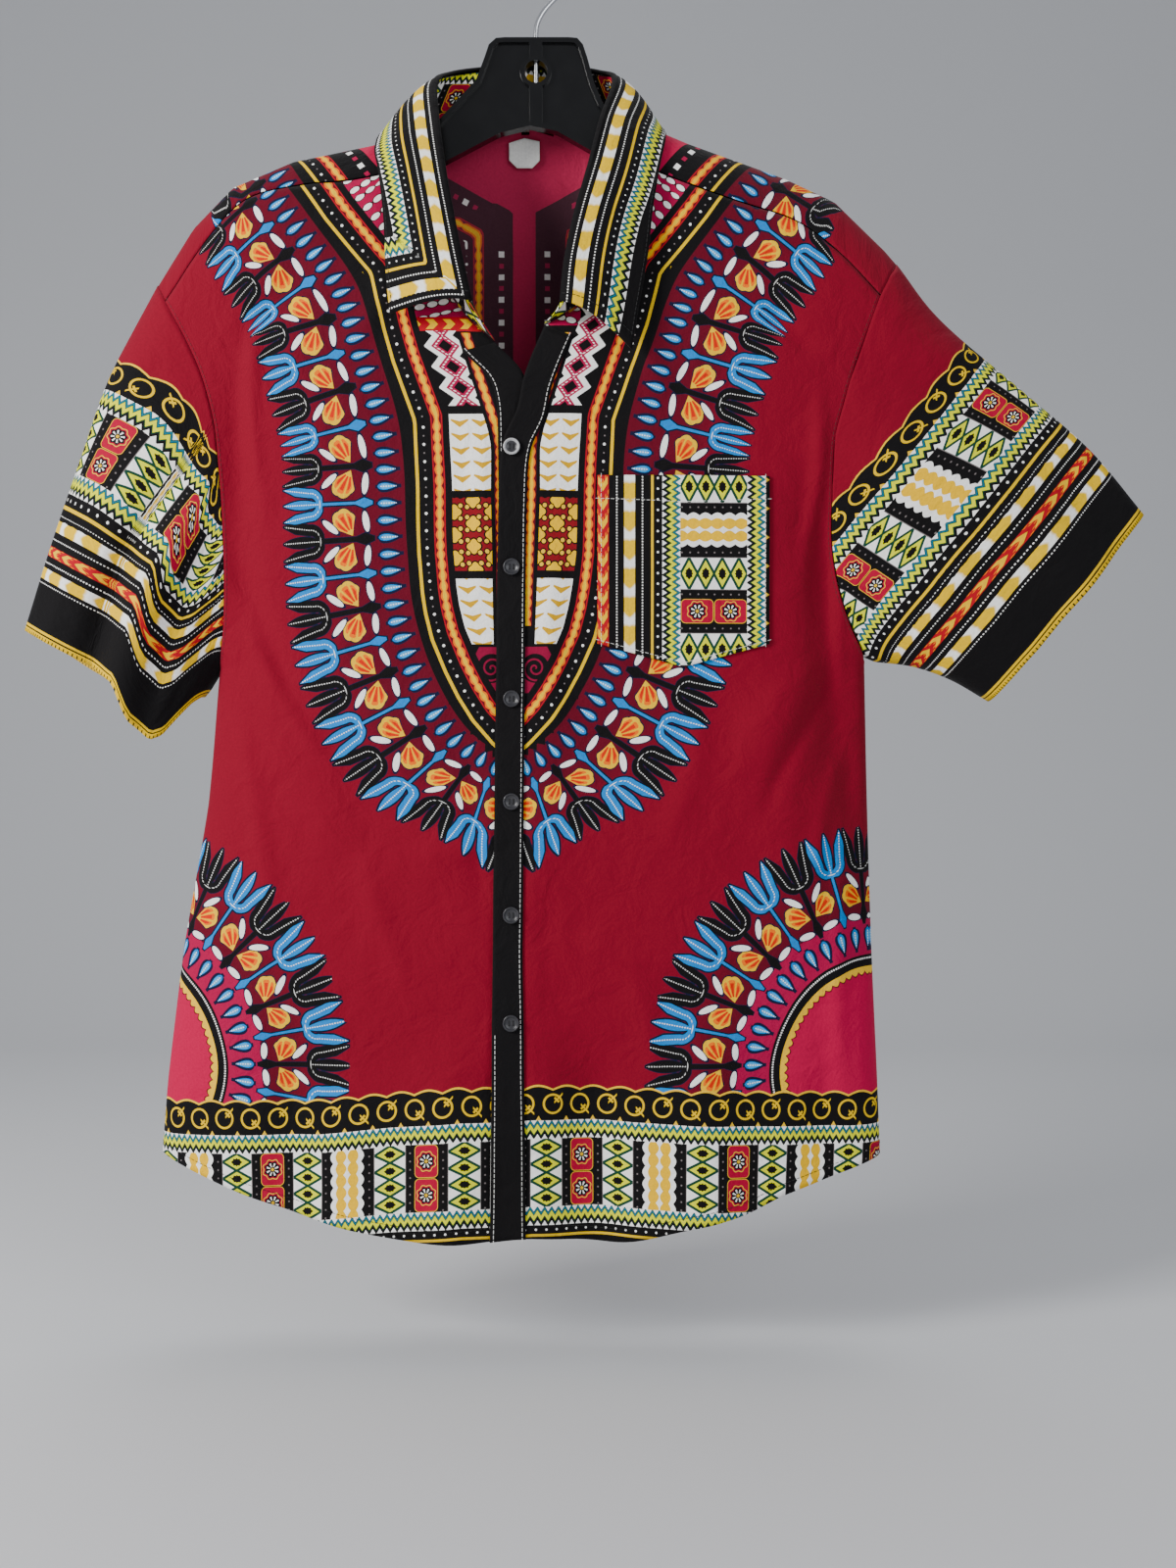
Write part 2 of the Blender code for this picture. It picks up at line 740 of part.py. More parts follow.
# Collar
def collar_lines(share):
    """The seam, roll and outer edge of the collar at a share of its length."""
    stations = COLLAR["station"]
    knots = np.linspace(0, 1, len(stations))
    points = np.column_stack([COLLAR[name] for name in list(COLLAR)[1:]])
    i = int(min(share * (len(knots) - 1), len(knots) - 2))
    line = soft_between(knots, points, i, share)
    station = float(np.interp(share, knots, stations))
    return neck_seam(station), Vector(line[:3]), Vector(line[3:])


def neck_seam(station):
    """The stand's foot, just inside the neck edge."""
    centre = NECK_CENTRE.copy()
    if 1 <= station <= 2:
        angle = NECK_FIRST_ANGLE - NECK_SWEEP * (station - 1)
        x = centre.x + (NECK_ACROSS - STAND_NECK_IN) * math.cos(angle)
        y = centre.y + (NECK_DEEP - STAND_NECK_IN) * math.sin(angle)
        return Vector((x, y, top_z(x, y) + SEAM))
    line = NECK_LEFT if station < 1 else NECK_RIGHT
    share = station if station < 1 else 3 - station
    x, z = along(line, share)
    lean = Vector((centre.x - x, 0, NECK_MIDDLE_Z - z)).normalized() * STAND_NECK_IN
    return Vector((x, body_y(x, z, -1) - CLOTH, z)) + lean


def inward(point):
    away = Vector((NECK_CENTRE.x - point.x, NECK_CENTRE.y - point.y, 0))
    return away.normalized()


def leaf_place(column, row):
    _, roll, edge = collar_lines(1 - column / COLLAR_COLUMNS)
    share = 1 - row / LEAF_ROWS
    point = roll + (edge - roll) * share
    bulge = -inward(point) + Vector((0, 0, 0.6))
    return point + bulge.normalized() * LEAF_BULGE * math.sin(math.pi * share**0.7)


def stand_place(column, row):
    seam, roll, _ = collar_lines(1 - column / COLLAR_COLUMNS)
    top = roll + inward(roll) * STAND_IN - Vector((0, 0, STAND_IN / 2))
    return seam + (top - seam) * row / STAND_ROWS


def make_collar(print_cloth):
    cloth("collar_leaf", leaf_place, COLLAR_COLUMNS, LEAF_ROWS, COLLAR_CLOTH, print_cloth)
    cloth("collar_stand", stand_place, COLLAR_COLUMNS, STAND_ROWS, CLOTH, print_cloth)


# Pocket, label and buttons
def pocket_place(column, row):
    across, up = column / POCKET_CELLS, row / POCKET_CELLS
    x = (POCKET["left"] + (POCKET["right"] - POCKET["left"]) * across) * MM
    low = POCKET["point"] + (POCKET["side"] - POCKET["point"]) * abs(2 * across - 1)
    z = (low + (POCKET["top"] - low) * up) * MM
    return Vector((x, body_y(x, z, -1) - CLOTH - POCKET_OUT, z))


def label_place(column, row):
    """A tab sewn at the back neck seam, hanging inside, with one corner cut off."""
    x = (LABEL["left"] + (LABEL["right"] - LABEL["left"]) * (1 - column / LABEL_COLUMNS)) * MM
    neck_y = NECK_CENTRE.y + NECK_DEEP
    top = top_z(x, neck_y) - LABEL_BELOW
    low = top - LABEL["drop"] * MM
    if column in (0, LABEL_COLUMNS):
        low += LABEL["chamfer"] * MM
    z = low + (top - low) * row / LABEL_ROWS
    return Vector((x, body_y(x, z, 1) - LABEL_THICK - LABEL_CLEAR, z))


def make_small_pieces(print_cloth, white_cloth, button_plastic):
    cloth("pocket", pocket_place, POCKET_CELLS, POCKET_CELLS, CLOTH, print_cloth)
    cloth("neck_label", label_place, LABEL_COLUMNS, LABEL_ROWS, LABEL_THICK, white_cloth)
    for number, height in enumerate(BUTTON_HEIGHTS, 1):
        z = height * MM
        front = body_y(BUTTON_X, z, -1) - lap_rise(z) - BUTTON_OUT
        button = cylinder(f"button_{number}", BUTTON_RADIUS, BUTTON_THICK, PARTS, sides=20)
        button.data.materials.append(button_plastic)
        dish = cylinder(f"button_dish_{number}", BUTTON_RADIUS - BUTTON_RIM, BUTTON_DISH * 2, CUTTERS, sides=20)
        for piece, y in ((button, front - BUTTON_THICK / 2), (dish, front - BUTTON_THICK)):
            piece.rotation_euler = (math.pi / 2, 0, 0)
            piece.location = (BUTTON_X, y, z)
        cut(button, dish)


# Hanger
def scaled(x, y, z):
    return Matrix(np.diag([x, y, z, 1.0]).tolist())


def cylinder(name, radius, height, group, sides=32):
    shape = bmesh.new()
    bmesh.ops.create_cone(
        shape, cap_ends=True, segments=sides, radius1=radius, radius2=radius, depth=height
    )
    mesh = bpy.data.meshes.new(name)
    shape.to_mesh(mesh)
    shape.free()
    return hide_if_cutter(add_object(name, mesh, None, group))


def box(name, size, group):
    shape = bmesh.new()
    bmesh.ops.create_cube(shape, size=1)
    mesh = bpy.data.meshes.new(name)
    shape.to_mesh(mesh)
    shape.free()
    mesh.transform(scaled(*size))
    return hide_if_cutter(add_object(name, mesh, None, group))


def hide_if_cutter(thing):
    if thing.name in CUTTERS.objects:
        thing.hide_render = True
        thing.display_type = "WIRE"
    return thing


def cut(thing, tool, operation="DIFFERENCE"):
    boolean = thing.modifiers.new("Cut " + tool.name, "BOOLEAN")
    boolean.operation = operation
    boolean.solver = "EXACT"
    boolean.object = tool


def as_mesh(thing, name, group, finish):
    """A curve object made into a closed mesh object, and the curve removed."""
    bpy.context.view_layer.update()
    evaluated = thing.evaluated_get(bpy.context.evaluated_depsgraph_get())
    mesh = bpy.data.meshes.new_from_object(evaluated)
    shape = bmesh.new()
    shape.from_mesh(mesh)
    bmesh.ops.remove_doubles(shape, verts=shape.verts, dist=MERGE)
    shape.to_mesh(mesh)
    shape.free()
    matrix = thing.matrix_world.copy()
    bpy.data.objects.remove(thing, do_unlink=True)
    mesh.materials.clear()
    made = add_object(name, mesh, finish, group)
    made.matrix_world = matrix
    return hide_if_cutter(made)


def outline_object(name, points, thick, inset, group, finish):
    """A flat outline in the XZ plane, inset from its edge and thick along Y."""
    curve = bpy.data.curves.new(name, "CURVE")
    curve.dimensions = "2D"
    curve.fill_mode = "BOTH"
    curve.extrude = thick / 2
    curve.offset = -inset
    spline = curve.splines.new("POLY")
    spline.points.add(len(points) - 1)
    for place, (x, z) in zip(spline.points, points):
        place.co = (x, z, 0, 1)
    spline.use_cyclic_u = True
    thing = bpy.data.objects.new(name + "_outline", curve)
    group.objects.link(thing)
    thing.rotation_euler = (math.pi / 2, 0, 0)
    return as_mesh(thing, name, group, finish)


def arm_top(x):
    """The arm lies just inside the cloth, and its tip falls away from it."""
    return shoulder_z(x) - HANGER_BELOW - HANGER_TIP_DROP * smooth((abs(x) / MM - 160) / 40)


def hanger_outline():
    """Round the hanger from the left arm's tip over the plate, and back along the arms' low edge."""
    left = [(x, arm_top(x)) for x in np.linspace(-205, -92, 7) * MM]
    right = [(x, arm_top(x)) for x in np.linspace(78, 200, 7) * MM]
    tip_left = list(zip(ARM_TIP_LEFT["x"], ARM_TIP_LEFT["z"]))[::-1]
    tip_right = list(zip(ARM_TIP_RIGHT["x"], ARM_TIP_RIGHT["z"]))[::-1]
    plate = list(zip(PLATE["x"], PLATE["z"])) + list(zip(PLATE_RIGHT["x"], PLATE_RIGHT["z"]))
    low = list(zip(ARM_LOW["x"], ARM_LOW["z"]))[::-1]
    return tip_left + left + plate + right + tip_right + low


def make_hanger(plastic, steel):
    outline = hanger_outline()
    hanger = outline_object("hanger_body", outline, HANGER_THICK, 0, PARTS, plastic)
    for side, label in ((-1, "front"), (1, "back")):
        recess = outline_object("recess_" + label, outline, HANGER_RECESS * 2, HANGER_RIM, CUTTERS, None)
        recess.location.y = side * HANGER_THICK / 2
        rib_bar = box("rib_keep_" + label, (RIB_WIDTH, HANGER_THICK * 2, 0.2), CUTTERS)
        rib_bar.location = (0, 0, WINDOW_Z)
        ring = cylinder("ring_keep_" + label, WINDOW_RADIUS + WINDOW_RING, HANGER_THICK * 2, CUTTERS)
        ring.rotation_euler = (math.pi / 2, 0, 0)
        ring.location = (0, 0, WINDOW_Z)
        cut(recess, rib_bar)
        cut(recess, ring)
        cut(hanger, recess)
    window = cylinder("window_cutter", WINDOW_RADIUS, HANGER_THICK * 2, CUTTERS)
    window.rotation_euler = (math.pi / 2, 0, 0)
    window.location = (0, 0, WINDOW_Z)
    cut(hanger, window)
    bore = cylinder("bore_cutter", BORE_RADIUS, -HOOK_FOOT + SEAM, CUTTERS, sides=16)
    bore.location = (0, 0, (HOOK_FOOT - SEAM) / 2)
    cut(hanger, bore)
    make_hook(steel)


def make_hook(steel):
    """The wire from the plate's bore round the open hook, its tip plain."""
    centre = -HOOK_INSIDE
    radius = HOOK_INSIDE + WIRE_RADIUS
    points = [(x, z) for x, z in (along(HOOK_STEM, share) for share in np.linspace(0, 1, 13))]
    for angle in np.linspace(*HOOK_ARC, HOOK_ARC_STEPS):
        points.append((radius * math.cos(angle), centre + radius * math.sin(angle)))
    curve = bpy.data.curves.new("hanger_hook", "CURVE")
    curve.dimensions = "3D"
    curve.bevel_depth = WIRE_RADIUS
    curve.bevel_resolution = 2
    curve.use_fill_caps = True
    spline = curve.splines.new("POLY")
    spline.points.add(len(points) - 1)
    for place, (x, z) in zip(spline.points, points):
        place.co = (x, 0, z, 1)
    add_object("hanger_hook", curve, steel, PARTS)


clear_scene()
PARTS = collection("african print shirt")
CUTTERS = collection("cutters")
PRINT_CLOTH = material("printed cotton", (0.35, 0.01, 0.03), 0.85)
BLACK_CLOTH = material("black cotton", (0.01, 0.01, 0.012), 0.85)
WHITE_CLOTH = material("label tape", (0.85, 0.85, 0.85), 0.7)
BUTTON_PLASTIC = material("button plastic", (0.04, 0.04, 0.045), 0.35)
HANGER_PLASTIC = material("hanger plastic", (0.012, 0.012, 0.013), 0.3)
HOOK_STEEL = material("hook steel", (0.75, 0.75, 0.77), 0.25, 1.0)
make_fronts(PRINT_CLOTH, BLACK_CLOTH)
make_back(PRINT_CLOTH)
make_sleeves(PRINT_CLOTH)
make_collar(PRINT_CLOTH)
make_small_pieces(PRINT_CLOTH, WHITE_CLOTH, BUTTON_PLASTIC)
make_hanger(HANGER_PLASTIC, HOOK_STEEL)
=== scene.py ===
"""African print shirt hanging on a moulded plastic hanger.

Metres, +Z up. The shirt's front faces -Y, and the origin is the inside top of the
hanger's hook. Left and right are the viewer's. The print's formulas are in millimetres.
"""

import math

import bmesh
import bpy
import numpy as np
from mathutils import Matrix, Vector


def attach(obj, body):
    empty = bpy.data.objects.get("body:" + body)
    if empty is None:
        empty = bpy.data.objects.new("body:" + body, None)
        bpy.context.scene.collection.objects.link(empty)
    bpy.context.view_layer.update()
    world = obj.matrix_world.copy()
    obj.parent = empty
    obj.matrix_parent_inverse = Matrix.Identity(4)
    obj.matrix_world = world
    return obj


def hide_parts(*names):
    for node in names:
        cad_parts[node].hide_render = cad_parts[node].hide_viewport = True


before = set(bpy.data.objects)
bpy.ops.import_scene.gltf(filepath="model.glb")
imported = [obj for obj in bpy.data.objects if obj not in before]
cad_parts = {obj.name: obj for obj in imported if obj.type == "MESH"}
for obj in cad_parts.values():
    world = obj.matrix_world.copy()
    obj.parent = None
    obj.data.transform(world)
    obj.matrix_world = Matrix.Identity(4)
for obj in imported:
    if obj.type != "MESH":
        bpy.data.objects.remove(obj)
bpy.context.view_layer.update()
scene = bpy.context.scene
MM = 0.001

# Fronts
# Two panels of plain-weave cotton, each one flat cut with its own copy of the print, hemmed at
# the foot and sewn to the collar, the back and the sleeves. Their edges, depth and largest
# folds are those of the solids, and the creases are finer.
CLOTH = 1.0 * MM
WALL = 0.6 * MM
SEAM = 0.3 * MM
LAP = 3.2 * MM
LAP_MARGIN = 2 * MM
LAP_RUN = 30 * MM
LAP_TOP = -270 * MM
PLACKET_WIDTH = 26 * MM
SHOULDER_ROLL = 60 * MM
SIDE_POWER = 2.6
SIDE_SPLIT = 17 / 30
EDGE_SPLIT = 24 / 30
FOLD_FADE = 3.0
SMALL_FOLD = 10 * MM
TOUCHING = 1e-4


def added(name, data):
    """A new object in the scene."""
    thing = bpy.data.objects.new(name, data)
    scene.collection.objects.link(thing)
    return thing


def table(columns, rows):
    """Rows given in millimetres, as one array in metres for each named column."""
    names = columns.split()
    return {name: np.array([row[i] for row in rows], float) * MM for i, name in enumerate(names)}


SHOULDER = table(
    "x z",
    [
        (-300, -298), (-267, -241), (-239, -196), (-212, -168), (-170, -150), (-112, -138), (-84, -128),
        (-9, -104), (66, -120), (106, -137), (175, -162), (209, -178), (244, -212), (256, -226),
        (300, -278),
    ],
)
BODY = table(
    "z left right front back",
    [
        (-905, -263, 243, 44, 40),
        (-842, -261, 241, 43, 38),
        (-790, -257, 239, 42, 37),
        (-700, -246, 235, 41, 36),
        (-600, -229, 232, 38, 35),
        (-505, -221, 230, 34, 33),
        (-430, -245, 252, 34, 34),
        (-340, -280, 285, 34, 36),
        (-250, -310, 310, 32, 34),
        (-120, -330, 330, 26, 30),
    ],
)
# Ridges (up) and troughs (down) along lines on the cloth, the large ones first
FRONT_FOLDS = table(
    "x0 z0 x1 z1 width height",
    [
        (190, -345, 224, -670, 16, -12),
        (158, -470, 186, -720, 24, 5),
        (-207, -270, -204, -520, 14, -8),
        (-205, -505, -115, -650, 20, 4),
        (46, -980, 40, -740, 22, -10),
        (-62, -980, -56, -750, 25, 7),
        (122, -980, 114, -730, 25, 8),
        (-172, -960, -160, -730, 24, -7),
        (205, -950, 200, -740, 17, -6),
        (216, -470, 120, -600, 18, 4),
        (198, -300, 186, -470, 6, 4),
        (209, -330, 214, -560, 5, 4),
        (-214, -420, -150, -560, 7, -3.5),
        (-212, -470, -128, -590, 6, 2.9),
        (-218, -500, -170, -700, 8, 3.2),
        (-196, -250, -190, -420, 6, 3.5),
        (214, -490, 150, -620, 6, -3.5),
        (222, -520, 182, -690, 7, 3.8),
        (206, -540, 214, -840, 7, 3.8),
        (120, -520, 90, -640, 8, 2.2),
        (-34, -330, -38, -470, 5, 2.6),
        (-42, -560, -36, -700, 5, -2.2),
        (10, -420, 14, -560, 5, 2.4),
        (8, -640, 12, -760, 6, -1.9),
        (60, -250, 96, -330, 8, 2.6),
        (-90, -215, -130, -300, 9, 2.6),
        (150, -230, 196, -300, 8, -2.9),
        (-150, -215, -206, -290, 8, -2.6),
        (-120, -620, -86, -740, 9, 2.4),
        (60, -700, 92, -800, 8, 2.4),
        (-10, -620, -90, -640, 6, 1.4),
        (20, -690, 110, -716, 6, 1.4),
        (-210, -700, -120, -760, 8, 2.2),
        (222, -700, 150, -770, 8, 2.2),
    ],
)
BACK_FOLDS = table(
    "x0 z0 x1 z1 width height",
    [
        (-6, -230, 8, -980, 45, 6),
        (-118, -300, -108, -980, 34, -7),
        (132, -320, 124, -980, 36, -7),
        (-62, -980, -58, -690, 24, 5),
        (66, -980, 60, -700, 24, -6),
        (184, -980, 176, -600, 22, 6),
        (-190, -980, -176, -640, 22, 6),
        (-214, -480, -140, -600, 8, 3.5),
        (-206, -520, -120, -670, 7, -2.9),
        (212, -480, 130, -610, 8, 3.5),
        (204, -530, 124, -690, 7, -2.9),
        (-180, -260, -196, -420, 8, 3.2),
        (176, -260, 190, -430, 8, -3.2),
        (-40, -300, -52, -560, 9, 2.6),
        (46, -340, 52, -600, 9, -2.6),
        (-20, -420, -14, -700, 7, 2.2),
        (92, -640, 100, -860, 9, 2.6),
        (-140, -660, -150, -860, 9, -2.6),
        (0, -180, -70, -260, 9, 1.9),
        (0, -180, 70, -262, 9, 1.9),
    ],
)
HEM = table(
    "x z",
    [
        (-261, -842), (-227, -856), (-183, -873), (-122, -890), (-59, -897), (-5, -893), (23, -895),
        (60, -898), (104, -888), (143, -879), (171, -867), (199, -858), (226, -849), (241, -844),
    ],
)
SIDE_LEFT = table("x z", [(-261, -842), (-257, -790), (-246, -700), (-229, -600), (-221, -505)])
SIDE_RIGHT = table("x z", [(241, -844), (239, -790), (235, -700), (232, -600), (230, -500)])
ARMHOLE_LEFT = table(
    "x z",
    [
        (-221, -505), (-217, -480), (-216, -440), (-217, -400), (-219, -366), (-222, -335), (-230, -304),
        (-241, -279), (-256, -252),
    ],
)
ARMHOLE_RIGHT = table(
    "x z",
    [
        (230, -500), (214, -464), (206, -425), (205, -385), (206, -350), (213, -322), (220, -298),
        (228, -276), (238, -249),
    ],
)
SEAM_LEFT = table("x z", [(-256, -252), (-204, -184), (-160, -172), (-130, -170), (-73, -160)])
SEAM_RIGHT = table("x z", [(54, -152), (103, -172), (137, -184), (180, -198), (210, -220), (238, -249)])
NECK_LEFT = table("x z", [(-27, -284), (-48, -264), (-66, -236), (-76, -198), (-73, -160)])
NECK_RIGHT = table("x z", [(7, -272), (34, -256), (52, -230), (60, -190), (54, -152)])
EDGE_LEFT = table("x z", [(-4, -894), (-3, -600), (-3, -350), (-7, -307), (-27, -284)])
EDGE_RIGHT = table(
    "x z",
    [(-30, -896), (-28, -700), (-26, -500), (-24, -377), (-21, -350), (-12, -330), (-7, -307), (7, -272)],
)


def smooth(share):
    """0 to 1 with a soft start and end."""
    share = np.clip(share, 0, 1)
    return share * share * (3 - 2 * share)


def soft_curve(knots, values, wanted):
    """A cubic through the values, with slopes read from their neighbours."""
    i = np.clip(np.searchsorted(knots, wanted, side="right") - 1, 0, len(knots) - 2)
    span = (knots[i + 1] - knots[i])[:, None]
    t = (wanted - knots[i])[:, None] / span
    low = np.maximum(np.arange(len(knots)) - 1, 0)
    high = np.minimum(np.arange(len(knots)) + 1, len(knots) - 1)
    slopes = (values[high] - values[low]) / (knots[high] - knots[low])[:, None]
    start = (2 * t**3 - 3 * t**2 + 1) * values[i] + (t**3 - 2 * t**2 + t) * slopes[i] * span
    end = (3 * t**2 - 2 * t**3) * values[i + 1] + (t**3 - t**2) * slopes[i + 1] * span
    return start + end


def soft_line(points, count=240):
    """Points evenly along a soft curve through a line's corners."""
    corners = np.column_stack([points["x"], points["z"]])
    steps = np.linalg.norm(np.diff(corners, axis=0), axis=1)
    knots = np.concatenate([[0], np.cumsum(steps)])
    return soft_curve(knots, corners, np.linspace(0, knots[-1], count))


def line(points):
    soft = soft_line(points)
    return np.linspace(0, 1, len(soft)), soft


def edge(low, high, split):
    """Two lines end to end, the first up to the split of the whole."""
    first, second = soft_line(low), soft_line(high)
    shares = np.concatenate([np.linspace(0, split, len(first)), np.linspace(split, 1, len(second))[1:]])
    return shares, np.vstack([first, second[1:]])


def at(path, share):
    """The path's point at each share of it."""
    shares, points = path
    return np.stack([np.interp(share, shares, points[:, i]) for i in (0, 1)], -1)


def part_of(points, low, high):
    """The stretch of a line between two x values."""
    xs = np.array([low] + [x for x in points["x"] if low < x < high] + [high])
    return {"x": xs, "z": np.interp(xs, points["x"], points["z"])}


def coons(bottom, top, left, right, u, v):
    """Points in the panel between four edge lines, each read from its start to its end."""
    u1, v1 = u[..., None], v[..., None]
    edges = (1 - v1) * at(bottom, u) + v1 * at(top, u) + (1 - u1) * at(left, v) + u1 * at(right, v)
    low = (1 - u1) * at(bottom, 0) + u1 * at(bottom, 1)
    high = (1 - u1) * at(top, 0) + u1 * at(top, 1)
    return edges - (1 - v1) * low - v1 * high


def shoulder_z(x):
    return np.interp(x, SHOULDER["x"], SHOULDER["z"])


def fold_height(folds, x, z):
    """How far the folds push the cloth out at each point."""
    height = np.zeros(np.shape(x))
    for x0, z0, x1, z1, width, rise in zip(*[folds[name] for name in folds]):
        run = np.array([x1 - x0, z1 - z0])
        length = np.linalg.norm(run)
        run = run / length
        down = ((x - x0) * run[0] + (z - z0) * run[1]) / length
        aside = (x - x0) * run[1] - (z - z0) * run[0]
        bend = 0.35 * width * np.sin(down * 7 + x0 * 90) if width < SMALL_FOLD else 0
        end = smooth(np.minimum(down, 1 - down) * FOLD_FADE)
        height = height + rise * end * np.exp(-(((aside + bend) / width) ** 2))
    return height


def rumple(x, z, seed=0.0):
    """Light, uneven crumpling of washed cotton, in metres."""
    a = np.sin(61 * x + 37 * z + 2.1 * np.sin(23 * z + seed) + seed)
    b = np.sin(-43 * x + 74 * z + 1.7 * np.sin(31 * x + 2 * seed))
    c = np.sin(118 * x + 52 * z + 2.4 * np.sin(47 * z - 19 * x) + 3 * seed)
    return (0.34 * a + 0.3 * b + 0.16 * c * (0.6 + 0.4 * a)) * MM


def body_y(x, z, side):
    """The cloth's inner face: side is -1 on the front and 1 on the back."""
    left, right = (np.interp(z, BODY["z"], BODY[name]) for name in ("left", "right"))
    across = np.clip(np.abs(2 * x - left - right) / (right - left), 0, 1)
    round_side = (1 - across**SIDE_POWER) ** (1 / SIDE_POWER)
    below = np.maximum(0, shoulder_z(x) - z)
    round_top = np.sqrt(1 - (1 - np.minimum(below / SHOULDER_ROLL, 1)) ** 2)
    folds = fold_height(FRONT_FOLDS if side < 0 else BACK_FOLDS, x, z) + rumple(x, z, float(side))
    depth = np.interp(z, BODY["z"], BODY["front" if side < 0 else "back"]) + folds
    return side * (depth * round_side * round_top + SEAM / 2)


def joined(x, y, z):
    return np.stack([x, y, z], -1)


def out_of(grid, inside, closed):
    """The direction out of the sheet at each point of the grid, away from the inside points."""
    if closed:
        across = np.roll(grid, -1, 1) - np.roll(grid, 1, 1)
    else:
        across = np.gradient(grid, axis=1)
    up = np.gradient(grid, axis=0)
    out = np.cross(across, up)
    out = out / np.maximum(np.linalg.norm(out, axis=-1, keepdims=True), 1e-12)
    turned = np.sum(out * (grid - inside)) < 0
    return (-out if turned else out), turned


def sheet_mesh(name, grid, inside, coords, materials, faces_in=None, closed=False, wall=WALL, cloth=CLOTH):
    """A thin closed sheet over a grid of points, carrying named coordinates and materials.

    faces_in gives each face's material on the right side; the last material is the wrong side.
    """
    rows, columns = grid.shape[:2]
    out, turned = out_of(grid, inside, closed)
    outer = grid + out * cloth
    inner = grid + out * (cloth - wall)
    points = np.vstack([outer.reshape(-1, 3), inner.reshape(-1, 3)])
    across = columns if closed else columns - 1
    row, column = np.meshgrid(np.arange(rows - 1), np.arange(across), indexing="ij")
    after = (column + 1) % columns
    here, above = row * columns, (row + 1) * columns
    quads = np.stack([here + column, here + after, above + after, above + column], -1).reshape(-1, 4)
    second = rows * columns
    right_side = quads[:, ::-1] if turned else quads
    wrong_side = (quads if turned else quads[:, ::-1]) + second
    low = np.arange(across)
    rims = [(low, (low + 1) % columns)]
    top = low + (rows - 1) * columns
    rims.append(((low + 1) % columns + (rows - 1) * columns, top))
    if not closed:
        up = np.arange(rows - 1) * columns
        rims.append((up + columns, up))
        rims.append((up + columns - 1, up + 2 * columns - 1))
    rim = np.vstack([np.stack([b, a, a + second, b + second], -1) for a, b in rims])
    if turned:
        rim = rim[:, ::-1]
    faces = np.vstack([right_side, wrong_side, rim])
    mesh = bpy.data.meshes.new(name)
    mesh.from_pydata(points.tolist(), [], faces.tolist())
    for made in materials:
        mesh.materials.append(made)
    slots = np.zeros(len(faces), int)
    if faces_in is not None:
        slots[: len(right_side)] = faces_in.reshape(-1)
    slots[len(right_side) : 2 * len(right_side)] = len(materials) - 1
    mesh.polygons.foreach_set("material_index", slots)
    for label, values in coords.items():
        both = np.vstack([values.reshape(-1, 3), values.reshape(-1, 3)])
        attribute = mesh.attributes.new(label, "FLOAT_VECTOR", "POINT")
        attribute.data.foreach_set("vector", both.ravel())
    mesh.shade_smooth()
    mesh.update()
    return added(name, mesh)


def ink(red, green, blue):
    """A screen colour from 0 to 255 as linear light."""
    levels = [level / 255 for level in (red, green, blue)]
    return tuple(v / 12.92 if v <= 0.04045 else ((v + 0.055) / 1.055) ** 2.4 for v in levels) + (1.0,)


# The inks of the print
CRIMSON = ink(130, 0, 33)
WINE = ink(98, 0, 28)
PINK = ink(186, 0, 66)
MAGENTA = ink(168, 0, 66)
BLUE = ink(0, 128, 206)
NAVY = ink(14, 18, 52)
SKY = ink(70, 164, 222)
YELLOW = ink(240, 188, 0)
ORANGE = ink(240, 112, 0)
FLAME = ink(210, 34, 0)
WHITE = ink(253, 252, 248)
LIME = ink(226, 226, 0)
GREEN = ink(8, 62, 44)
TEAL = ink(10, 106, 130)
GOLD = ink(234, 190, 0)
CREAM = ink(242, 192, 40)
BLACK = ink(10, 8, 10)
SCARLET = ink(178, 8, 30)
ROSE = ink(172, 0, 50)
MUSTARD = ink(214, 162, 0)
PLUM = ink(136, 4, 52)
BRICK = ink(134, 14, 26)
GREY = ink(120, 112, 112)


def term_method(operation):
    def method(self, *others):
        return self.made(operation, self, *others)

    return method


class Term:
    """A value in a shader, so that a motif's formula reads as it is written.

    a.fold(b) is the distance from a to the nearest whole multiple of 2b.
    """

    def __init__(self, tree, socket):
        self.tree = tree
        self.socket = socket

    def made(self, operation, *values):
        node = self.tree.nodes.new("ShaderNodeMath")
        node.operation = operation
        for socket, value in zip(node.inputs, values):
            if isinstance(value, Term):
                self.tree.links.new(value.socket, socket)
            else:
                socket.default_value = value
        return Term(self.tree, node.outputs[0])

    def __rsub__(self, other):
        return self.made("SUBTRACT", other, self)

    def wrap(self, low, high):
        return self.made("WRAP", self, high, low)

    __add__ = __radd__ = term_method("ADD")
    __sub__ = term_method("SUBTRACT")
    __mul__ = __rmul__ = term_method("MULTIPLY")
    __truediv__ = term_method("DIVIDE")
    __lt__ = term_method("LESS_THAN")
    __gt__ = term_method("GREATER_THAN")
    __abs__ = term_method("ABSOLUTE")
    low = term_method("MINIMUM")
    high = term_method("MAXIMUM")
    fold = term_method("PINGPONG")
    fract = term_method("FRACT")
    root = term_method("SQRT")
    sin = term_method("SINE")
    cos = term_method("COSINE")
    angle = term_method("ARCTAN2")


def between(value, low, high):
    return (value > low) * (value < high)


def length(a, b):
    return (a * a + b * b).root()


def socket_of(sockets, identifier):
    return next(socket for socket in sockets if socket.identifier == identifier)


